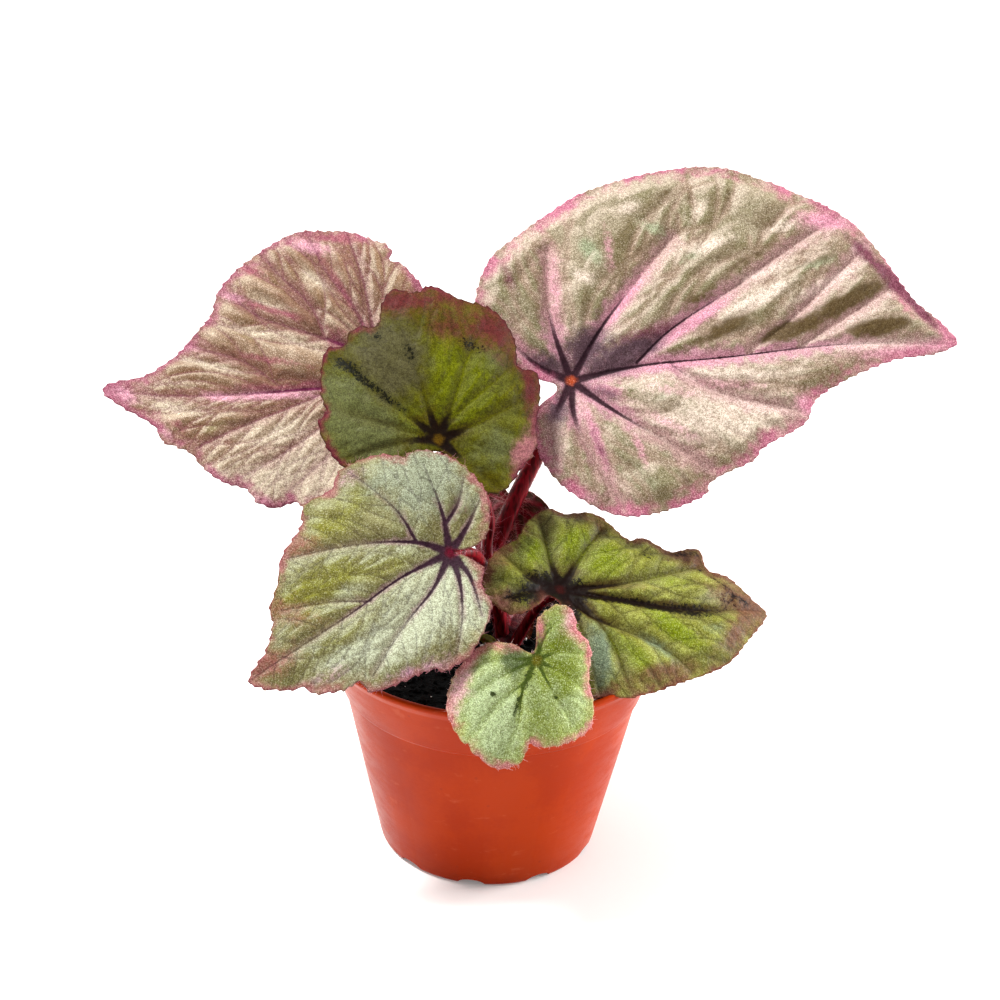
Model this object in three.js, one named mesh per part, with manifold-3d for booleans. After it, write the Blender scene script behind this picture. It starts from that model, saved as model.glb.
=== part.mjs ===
// A rhizomatous begonia in a small plastic nursery pot. Millimetres, +Z up.
// The origin is the middle of the pot's flat underside; +X is the plant's broad side.
import * as THREE from "three";
import { mergeVertices } from "three/addons/utils/BufferGeometryUtils.js";
import { TessellateModifier } from "three/addons/modifiers/TessellateModifier.js";
import Module from "manifold-3d";

// ---- driving dimensions, mm ----
const TOUCH = 0.3; // gap kept between pieces that touch
const SEGMENTS = 48; // facets round the pot

const POT = {
  height: 68,
  baseRadius: 32.2,
  collarHeight: 17, // the flared collar below the rim
  neckRadius: 43, // wall where the collar starts
  rimRadius: 50,
  wall: 1.2,
  floor: 1.4,
  drainSlots: 10, // slots cut through the corner of wall and floor
  drainWidth: 8,
  drainHeight: 2.2,
  drainInner: 27.5,
  firstSlot: 29, // degrees from the front, towards +X
};
const SOIL = { middle: 62, edge: 63.4, floorGap: 0.35 };
const RHIZOME = { radius: 5.5, length: 29, middle: [4.5, 10.5, 60.5] };
const BLADE = { thickness: 0.8, facet: 13 };
const TUBE_SIDES = 9;

// Each leaf: where the petiole meets the blade, the direction its midrib points (degrees round from
// +X, degrees up), how far the blade banks about the midrib, and its length from there to the tip.
// funnel is the dip round the petiole, [depth, radius]; tipDroop and sideDroop bend the blade down
// as shares of its length; keel lifts the two halves from the midrib. The outline runs round the
// blade from the notch: [along the midrib, to its left]. The petiole is a rod along its points.
const LEAVES = {
  right_large: {
    attach: [19.6, 23, 136.3], heading: 5, pitch: 6, bank: -56, length: 111.7,
    funnel: [4, 22], tipDroop: 0.07, sideDroop: 0.05, keel: 0.05,
    outline: [
      [-4.5, -0.8], [-9, 1], [-14.5, 5], [-23, 18.5], [-25, 25], [-20.5, 36], [-16, 40.5], [8, 54],
      [35.5, 59.5], [51, 58.5], [85, 40.5], [92.5, 31], [101.5, 15], [113, 1.5], [108.5, -1],
      [92, -3], [69, -12.5], [65.5, -18.5], [51.5, -25.5], [49.5, -28], [36, -33.5], [34.5, -36.5],
      [11.5, -41], [-4.5, -31.5], [-10, -22], [-11, -12.5], [-9, -6.5], [-4.5, -2.6],
    ],
    petiole: {
      diameter: 5.4,
      path: [
        [4, 11.8, 62], [-0.7, 10.8, 71], [-2.6, 10.6, 80.4], [-0.9, 12, 87.3], [2.2, 14, 94.8],
        [5.4, 16, 102.7], [8.8, 18, 109.9], [12.3, 20, 117.6], [16.2, 22, 127.5],
      ],
    },
  },
  left_large: {
    attach: [-35.9, 36, 134.5], heading: -170, pitch: -4, bank: 48, length: 79.8,
    funnel: [4, 18], tipDroop: 0.06, sideDroop: 0.06, keel: 0.05,
    outline: [
      [-2, -3], [-12, -3.5], [-17, -6], [-19, -11.5], [-15.5, -21.5], [-9, -30.5], [-6.5, -31],
      [-7.5, -34], [-6, -37], [-3, -39], [0.5, -41], [20, -43], [36.5, -34], [44.5, -26],
      [47.5, -18.5], [64, -4], [80, 0], [66, 13.5], [64.5, 17.5], [56.5, 22.5], [54, 26.5],
      [49, 31.5], [42, 34.5], [39.5, 38.5], [34.5, 40.5], [29, 39.5], [27, 41], [20.5, 41.5],
      [12.5, 40], [5.5, 36], [-0.5, 30], [-3.5, 22.5], [-4, 15], [-1, 3],
    ],
    petiole: {
      diameter: 4,
      path: [[3.6, 17, 62], [-4.2, 18.6, 84], [-14, 27, 107], [-26, 34.5, 124]],
    },
  },
  upper_middle: {
    attach: [-16.8, -4, 128.2], heading: 100, pitch: 58, bank: -3, length: 42.7,
    funnel: [4.5, 16], tipDroop: 0.16, sideDroop: 0.09, keel: 0.03,
    outline: [
      [-3.5, 2], [-8, 6], [-11.5, 11], [-12, 17], [-10, 22.5], [-3, 29.5], [6, 32.5], [8.5, 30.5],
      [14, 31.5], [26.5, 29], [27, 24.5], [30.5, 23], [32, 20.5], [32, 15.5], [38.5, 13.5],
      [42.5, 10.5], [41.5, 4], [43.5, -0.5], [39.5, -8.5], [36.5, -17.5], [28.5, -23.5], [20, -24],
      [19, -29], [17, -30], [13, -30], [2, -28], [-0.6, -28.5], [-5, -26.5], [-9.3, -22.5],
      [-14.2, -18.3], [-15.8, -15], [-15.5, -11.5], [-13, -7.5], [-9, -3.5], [-4.5, -1.5],
    ],
    petiole: {
      diameter: 3.4,
      path: [
        [3.6, 6.8, 62], [0.4, 5.5, 77.6], [-2.7, 4.2, 90.5], [-2.4, 3, 101.4], [-7, 1, 114.4],
        [-12.5, -1, 123.7],
      ],
    },
  },
  lower_left: {
    attach: [-12.4, -30, 106.6], heading: -157, pitch: -27, bank: 48, length: 63.3,
    funnel: [3.5, 14], tipDroop: 0.09, sideDroop: 0.08, keel: 0.05,
    outline: [
      [-1.4, 0], [-3.4, 0.7], [-6.7, 1.5], [-9.5, 1.2], [-12, -0.2], [-15, -3.5], [-17, -9.5],
      [-15, -20], [-13, -23.5], [-8.5, -28], [-5, -29], [-4.5, -28.5], [2, -33.5], [13.5, -35],
      [17.5, -32], [26.5, -32], [29.5, -28], [39, -23], [43, -18], [49, -12.5], [49.5, -10],
      [55.5, -4], [63.5, 0], [61.5, 3.5], [56.5, 7.5], [51.5, 10], [51, 12], [43.5, 16],
      [38.5, 16.5], [38, 20], [20, 24.5], [19, 26], [15, 26.5], [10.5, 26.5], [7.5, 25],
      [0.5, 20.5], [-2, 17.5], [-2, 14.5], [-3, 11], [-5.2, 9], [-3.9, 4.7], [-2.2, 1.9],
      [-0.9, 1.1],
    ],
    petiole: {
      diameter: 3.4,
      path: [[3, 2.5, 62], [0.4, -2.4, 78], [-3.2, -8.5, 91], [-7.1, -21, 102.2]],
    },
  },
  lower_right: {
    attach: [18.6, -13, 88.7], heading: 9, pitch: -9, bank: -30, length: 60.8,
    funnel: [3, 12], tipDroop: 0.1, sideDroop: 0.09, keel: 0.04,
    outline: [
      [-3.5, -3], [-7, -7], [-14.5, -11.5], [-19.5, -9.5], [-23, -5.5], [-23, -2.5], [-22.5, 1],
      [-19, 8.5], [-12.5, 14], [-10.5, 18.5], [-7.5, 23.5], [-3.5, 27], [-0.5, 28], [2, 26.5],
      [12.5, 26.5], [21, 18.5], [25.5, 20], [33.5, 16.5], [40.5, 19.5], [43, 19], [44.5, 11.5],
      [51, 11], [53, 10], [58.5, 4.5], [62.5, 2], [54, -11], [48, -18], [32, -26.5], [18, -32],
      [13, -31.5], [8.5, -33], [5, -31.5], [2, -28], [0, -21], [-1, -13.5], [-0.5, -5],
    ],
    petiole: { diameter: 3, path: [[5.8, -0.6, 62], [10, -2.6, 72], [14, -7.4, 81]] },
  },
  front_small: {
    attach: [11.9, -43, 82.1], heading: -114, pitch: -45, bank: 28, length: 30.9,
    funnel: [2, 8], tipDroop: 0.26, sideDroop: 0.12, keel: 0.05,
    outline: [
      [-1.5, -1.5], [-1.5, -8], [1, -14.5], [10.5, -19], [19.5, -18], [22, -16.5], [26.5, -11.5],
      [27, -9.5], [29, -7], [29, -5.5], [30, -3.5], [30, 1], [26.5, 5.5], [21.5, 6], [21.5, 8],
      [18.5, 14.5], [12.5, 20], [10, 20.5], [4.5, 18.5], [0, 15.5], [-7.5, 13.5], [-9.5, 12],
      [-11.5, 7.5], [-13, 7], [-16, 4], [-16, 2], [-15.5, 0], [-11.5, -3], [-10, -3.5],
    ],
    petiole: { diameter: 2.2, path: [[9, -24, 60], [9.5, -31, 69], [10.5, -37.6, 76]] },
  },
  back_young: {
    attach: [4, 27, 97], heading: 72, pitch: -58, bank: -16, length: 29,
    funnel: [2, 8], tipDroop: 0.12, sideDroop: 0.1, keel: 0.05,
    outline: [
      [-1.5, -1], [-5, -4], [-8, -9], [-7, -14], [-2, -18], [5, -18.5], [12, -16], [19, -11],
      [24, -5], [29, 0], [24, 5.5], [18, 11], [11, 15], [4, 16.5], [-2, 15], [-6, 10.5],
      [-6.5, 5], [-4, 2],
    ],
    petiole: { diameter: 2.4, path: [[4.6, 20.9, 62], [3.6, 22.4, 74], [3.2, 25, 86]] },
  },
};

// Papery scales at the foot of the petioles: foot, tip and half width.
const STIPULES = {
  stipule_front: { foot: [8.6, 4.6, 63], tip: [11.8, 3.2, 71], halfWidth: 2.3, turn: 80 },
  stipule_back: { foot: [6, 23.4, 63], tip: [9, 27, 71], halfWidth: 2.2, turn: 20 },
};
const BUD = { foot: [0.6, -1, 62.2], tip: [-4.4, -5, 67.5], radius: 1.6 };

// ---- materials ----
function finish(color, roughness) {
  return new THREE.MeshStandardMaterial({ color, roughness, metalness: 0 });
}
const MATERIALS = {
  plastic: finish(0xc4492a, 0.42),
  peat: finish(0x0d0908, 0.95),
  rhizome: finish(0x4a1a16, 0.75),
  petiole: finish(0x6a0f1c, 0.5),
  papery: finish(0x7a3a22, 0.8),
  bud: finish(0x6b6a1e, 0.6),
  right_large: finish(0xb3a294, 0.5),
  left_large: finish(0xb39c93, 0.5),
  upper_middle: finish(0x7c8236, 0.5),
  lower_left: finish(0x9da184, 0.5),
  lower_right: finish(0x8a9a3a, 0.5),
  front_small: finish(0xb4c184, 0.5),
  back_young: finish(0x8c9a74, 0.5),
};

// ---- solids: joining and cutting closed meshes ----
const wasm = await Module();
wasm.setup();

function solidOf(geometry) {
  const bare = new THREE.BufferGeometry();
  bare.setAttribute("position", geometry.getAttribute("position"));
  if (geometry.index) bare.setIndex(geometry.index);
  const merged = mergeVertices(bare, 1e-3);
  return new wasm.Manifold(
    new wasm.Mesh({
      numProp: 3,
      vertProperties: merged.attributes.position.array,
      triVerts: new Uint32Array(merged.index.array),
    }),
  );
}

function geometryOf(solid) {
  const mesh = solid.getMesh();
  const geometry = new THREE.BufferGeometry();
  geometry.setAttribute("position", new THREE.BufferAttribute(mesh.vertProperties, 3));
  geometry.setIndex(new THREE.BufferAttribute(mesh.triVerts, 1));
  geometry.computeVertexNormals();
  return geometry;
}

function vector(point) {
  return new THREE.Vector3(...point);
}

// A body turned round +Z from [radius, height] points.
function turned(profile, segments = SEGMENTS) {
  const points = profile.map(([radius, height]) => new THREE.Vector2(radius, height));
  return new THREE.LatheGeometry(points, segments).rotateX(Math.PI / 2);
}

// A round rod along a smooth curve through the points.
function rod(points, diameter, steps) {
  const section = new THREE.Shape();
  for (let side = 0; side < TUBE_SIDES; side++) {
    const angle = (side / TUBE_SIDES) * 2 * Math.PI;
    const x = (diameter / 2) * Math.cos(angle);
    const y = (diameter / 2) * Math.sin(angle);
    if (side === 0) section.moveTo(x, y);
    else section.lineTo(x, y);
  }
  const extrudePath = new THREE.CatmullRomCurve3(points);
  return new THREE.ExtrudeGeometry(section, { steps, extrudePath, bevelEnabled: false });
}

// ---- pot and soil ----
function potWall() {
  const neck = POT.height - POT.collarHeight;
  const rim = POT.rimRadius;
  const { baseRadius, neckRadius, height, wall, floor } = POT;
  return turned([
    [0, 0],
    [baseRadius - 1, 0],
    [baseRadius, 1],
    [neckRadius, neck],
    [neckRadius + 0.8, neck + 0.5],
    [rim - 1.5, height - 3.6],
    [rim, height - 1.4],
    [rim, height - 0.6],
    [rim - 0.6, height],
    [rim - 1.4, height],
    [rim - 2, height - 0.8],
    [rim - 2.7, height - 3.4],
    [neckRadius + 0.8 - wall, neck + 0.9],
    [neckRadius - wall, neck],
    [baseRadius - wall, floor + 0.6],
    [baseRadius - wall - 0.8, floor],
    [0, floor],
  ]);
}

function pot() {
  const reach = POT.baseRadius + 4 - POT.drainInner;
  let solid = solidOf(potWall());
  for (let slot = 0; slot < POT.drainSlots; slot++) {
    const angle = THREE.MathUtils.degToRad(POT.firstSlot - 90 + (slot * 360) / POT.drainSlots);
    const cutter = new THREE.BoxGeometry(reach, POT.drainWidth, 2 * POT.drainHeight);
    cutter.translate(POT.drainInner + reach / 2, 0, 0).rotateZ(angle);
    solid = solid.subtract(solidOf(cutter));
  }
  return geometryOf(solid);
}

// The block of potting mix, grown by `extra` on top where another piece is cut to stand on it.
function soilBlock(extra = 0) {
  const wallGap = POT.wall + TOUCH + 0.1;
  const neck = POT.height - POT.collarHeight;
  const bottom = POT.floor + SOIL.floorGap;
  return solidOf(
    turned([
      [0, bottom],
      [POT.baseRadius - wallGap - 1, bottom],
      [POT.baseRadius - wallGap, bottom + 1.2],
      [POT.neckRadius - wallGap, neck],
      [POT.neckRadius - wallGap + 4.6, SOIL.edge + extra],
      [34, SOIL.middle + 0.6 + extra],
      [16, SOIL.middle + extra],
      [0, SOIL.middle + 0.3 + extra],
    ]),
  );
}

// ---- rhizome ----
// A stout creeping stem lying along Y, ringed by old leaf scars, grown by `extra` all round.
function rhizomeBody(extra = 0) {
  const { radius, length, middle } = RHIZOME;
  const half = length / 2 + extra;
  const rings = 8;
  const profile = [[0, -half]];
  for (let ring = 0; ring <= rings; ring++) {
    const along = -1 + (2 * ring) / rings;
    const swell = ring % 2 ? 1 : 0.93;
    const share = Math.sqrt(1 - Math.min(1, Math.abs(along)) ** 6 * 0.62);
    profile.push([(radius * swell + extra) * share, along * (half - 1.6)]);
  }
  profile.push([0, half]);
  return solidOf(turned(profile, 18).rotateX(-Math.PI / 2).translate(...middle));
}

// ---- leaves ----
function bladeFrame({ heading, pitch, bank }) {
  const turn = THREE.MathUtils.degToRad(heading);
  const climb = THREE.MathUtils.degToRad(pitch);
  const roll = THREE.MathUtils.degToRad(bank);
  const along = vector([
    Math.cos(climb) * Math.cos(turn),
    Math.cos(climb) * Math.sin(turn),
    Math.sin(climb),
  ]);
  const level = vector([-Math.sin(turn), Math.cos(turn), 0]);
  const upright = new THREE.Vector3().crossVectors(along, level);
  const up = upright.multiplyScalar(Math.cos(roll)).addScaledVector(level, Math.sin(roll));
  const left = new THREE.Vector3().crossVectors(up, along);
  return { along, left, up };
}

function bladeHeight(leaf, u, v) {
  const [depth, radius] = leaf.funnel;
  const dip = depth * (1 - Math.exp(-(u * u + v * v) / radius ** 2));
  const forward = Math.max(u, 0) / leaf.length;
  const aside = v / (0.5 * leaf.length);
  const droop = leaf.length * (leaf.tipDroop * forward ** 2 + leaf.sideDroop * aside ** 2);
  const keel = leaf.keel * (Math.hypot(v, 4) - 4) * THREE.MathUtils.clamp((u + 4) / 10, 0, 1);
  return dip - droop + keel;
}

function blade(leaf) {
  const outline = new THREE.Shape(leaf.outline.map(([u, v]) => new THREE.Vector2(u, v)));
  const slab = new THREE.ExtrudeGeometry(outline, { depth: BLADE.thickness, bevelEnabled: false });
  const geometry = new TessellateModifier(BLADE.facet, 12).modify(slab);
  const { along, left, up } = bladeFrame(leaf);
  const position = geometry.getAttribute("position");
  const point = new THREE.Vector3();
  for (let index = 0; index < position.count; index++) {
    const [u, v] = [position.getX(index), position.getY(index)];
    const lift = bladeHeight(leaf, u, v) + position.getZ(index) - BLADE.thickness;
    point.copy(vector(leaf.attach)).addScaledVector(along, u);
    point.addScaledVector(left, v).addScaledVector(up, lift);
    position.setXYZ(index, point.x, point.y, point.z);
  }
  return geometryOf(solidOf(geometry));
}

// The rod runs into the blade and is trimmed just below it, so that it meets the blade flush.
function petiole(leaf, foot) {
  const { along, left, up } = bladeFrame(leaf);
  const { diameter, path } = leaf.petiole;
  const top = vector(leaf.attach).addScaledVector(up, 1);
  const points = [...path.map(vector), top];
  const stalk = solidOf(rod(points, diameter, 2 + 2 * points.length));
  const trim = new THREE.BoxGeometry(24, 24, 12).translate(0, 0, 6 - BLADE.thickness - TOUCH);
  trim.applyMatrix4(new THREE.Matrix4().makeBasis(along, left, up));
  trim.translate(...leaf.attach);
  return geometryOf(stalk.subtract(solidOf(trim)).subtract(foot));
}

// ---- small parts of the crown ----
function stipule({ foot, tip, halfWidth, turn }, cut) {
  const length = vector(foot).distanceTo(vector(tip));
  const outline = new THREE.Shape();
  outline.moveTo(-halfWidth, 0);
  outline.quadraticCurveTo(-halfWidth, length * 0.6, 0, length);
  outline.quadraticCurveTo(halfWidth, length * 0.6, halfWidth, 0);
  const scale = new THREE.ExtrudeGeometry(outline, {
    depth: 0.7,
    bevelEnabled: false,
    curveSegments: 5,
  });
  scale.rotateY(THREE.MathUtils.degToRad(turn));
  const rise = vector(tip).sub(vector(foot)).normalize();
  const lean = new THREE.Quaternion().setFromUnitVectors(new THREE.Vector3(0, 1, 0), rise);
  scale.applyQuaternion(lean).translate(...foot);
  return geometryOf(solidOf(scale).subtract(cut));
}

function leafBud({ foot, tip, radius }, cut) {
  const length = vector(foot).distanceTo(vector(tip));
  const points = [[0, 0], [0.8, 0.1], [1, 0.5], [0.7, 0.8], [0, 1]];
  const profile = points.map(([r, h]) => new THREE.Vector2(r * radius, h * length));
  const bud = new THREE.LatheGeometry(profile, 10);
  const rise = vector(tip).sub(vector(foot)).normalize();
  const lean = new THREE.Quaternion().setFromUnitVectors(new THREE.Vector3(0, 1, 0), rise);
  bud.applyQuaternion(lean).translate(...foot);
  return geometryOf(solidOf(bud).subtract(cut));
}

// ---- the plant ----
const plant = new THREE.Group();

function add(name, geometry, material) {
  const mesh = new THREE.Mesh(geometry, material);
  mesh.name = name;
  plant.add(mesh);
}

const rhizomeRoom = rhizomeBody(TOUCH);
const soilRoom = soilBlock(TOUCH);

add("pot", pot(), MATERIALS.plastic);
add("soil", geometryOf(soilBlock().subtract(rhizomeRoom)), MATERIALS.peat);
add("rhizome", geometryOf(rhizomeBody()), MATERIALS.rhizome);
for (const [name, leaf] of Object.entries(LEAVES)) {
  const foot = name === "front_small" ? soilRoom : rhizomeRoom;
  add("petiole_" + name, petiole(leaf, foot), MATERIALS.petiole);
  add("leaf_" + name, blade(leaf), MATERIALS[name]);
}
for (const [name, scale] of Object.entries(STIPULES)) {
  add(name, stipule(scale, rhizomeRoom.add(soilRoom)), MATERIALS.papery);
}
add("leaf_bud", leafBud(BUD, rhizomeRoom.add(soilRoom)), MATERIALS.bud);

export default plant;
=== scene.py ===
"""The looks of a potted rhizomatous begonia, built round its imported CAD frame. Blender 4.5.

The scene is in metres, +Z up. Sizes below are in millimetres and become metres as each mesh is made.
"""

import math

import bmesh
import bpy
import numpy as np
from mathutils import Matrix, Vector
from mathutils.geometry import delaunay_2d_cdt
from mathutils.kdtree import KDTree


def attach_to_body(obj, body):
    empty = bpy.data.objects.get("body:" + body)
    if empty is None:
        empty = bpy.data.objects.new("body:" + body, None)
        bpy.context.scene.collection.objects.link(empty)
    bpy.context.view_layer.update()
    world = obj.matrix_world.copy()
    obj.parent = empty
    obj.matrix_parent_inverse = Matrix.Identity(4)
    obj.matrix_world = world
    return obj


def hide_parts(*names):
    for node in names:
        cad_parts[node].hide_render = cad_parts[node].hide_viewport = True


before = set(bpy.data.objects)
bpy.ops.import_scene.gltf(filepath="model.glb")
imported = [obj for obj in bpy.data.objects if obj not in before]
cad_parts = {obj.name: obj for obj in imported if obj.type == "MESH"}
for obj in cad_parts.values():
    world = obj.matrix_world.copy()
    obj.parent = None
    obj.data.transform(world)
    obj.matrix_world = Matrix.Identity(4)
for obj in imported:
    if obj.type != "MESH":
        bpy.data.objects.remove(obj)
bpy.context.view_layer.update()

MM = 0.001
SEED = 20
CAMERA = {
    "target": (0.5, 0, 108.4), "distance": 561.2, "pitch": 25.11, "roll": 2.06, "lens": 72, "sensor": 36,
}

# ---- pot, soil and crown: the frame's own sizes ----
POT = {
    "height": 68, "base_radius": 32.2, "collar_height": 17, "neck_radius": 43, "rim_radius": 50,
    "collar_step": 0.8, "wall": 1.2, "floor": 1.4, "drain_slots": 10, "drain_width": 8, "drain_height": 2.2,
    "drain_inner": 27.5, "first_slot": 29,
}
SOIL = {"middle": 62.0, "edge": 63.4, "bottom": 1.8, "rim_gap": 0.7}
# The white grains that show between the leaves: where, and how big.
SHOWING_PERLITE = [
    ((10, 7.4, 64.3), 1.5), ((9.4, 1.2, 63.6), 0.9), ((-16.5, -33.5, 63.6), 0.6), ((-24, -28, 63.4), 0.4),
]
RHIZOME = {"radius": 5.5, "length": 29, "middle": (4.5, 10.5, 60.5)}
STIPULES = {
    "stipule_front": {"foot": (8.6, 4.6, 63), "tip": (11.8, 3.2, 71), "half_width": 2.3, "turn": 80},
    "stipule_back": {"foot": (6, 23.4, 63), "tip": (9, 27, 71), "half_width": 2.2, "turn": 20},
}
BUD = {"foot": (0.6, -1, 62.2), "tip": (-4.4, -5, 67.5), "radius": 1.6}

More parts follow.
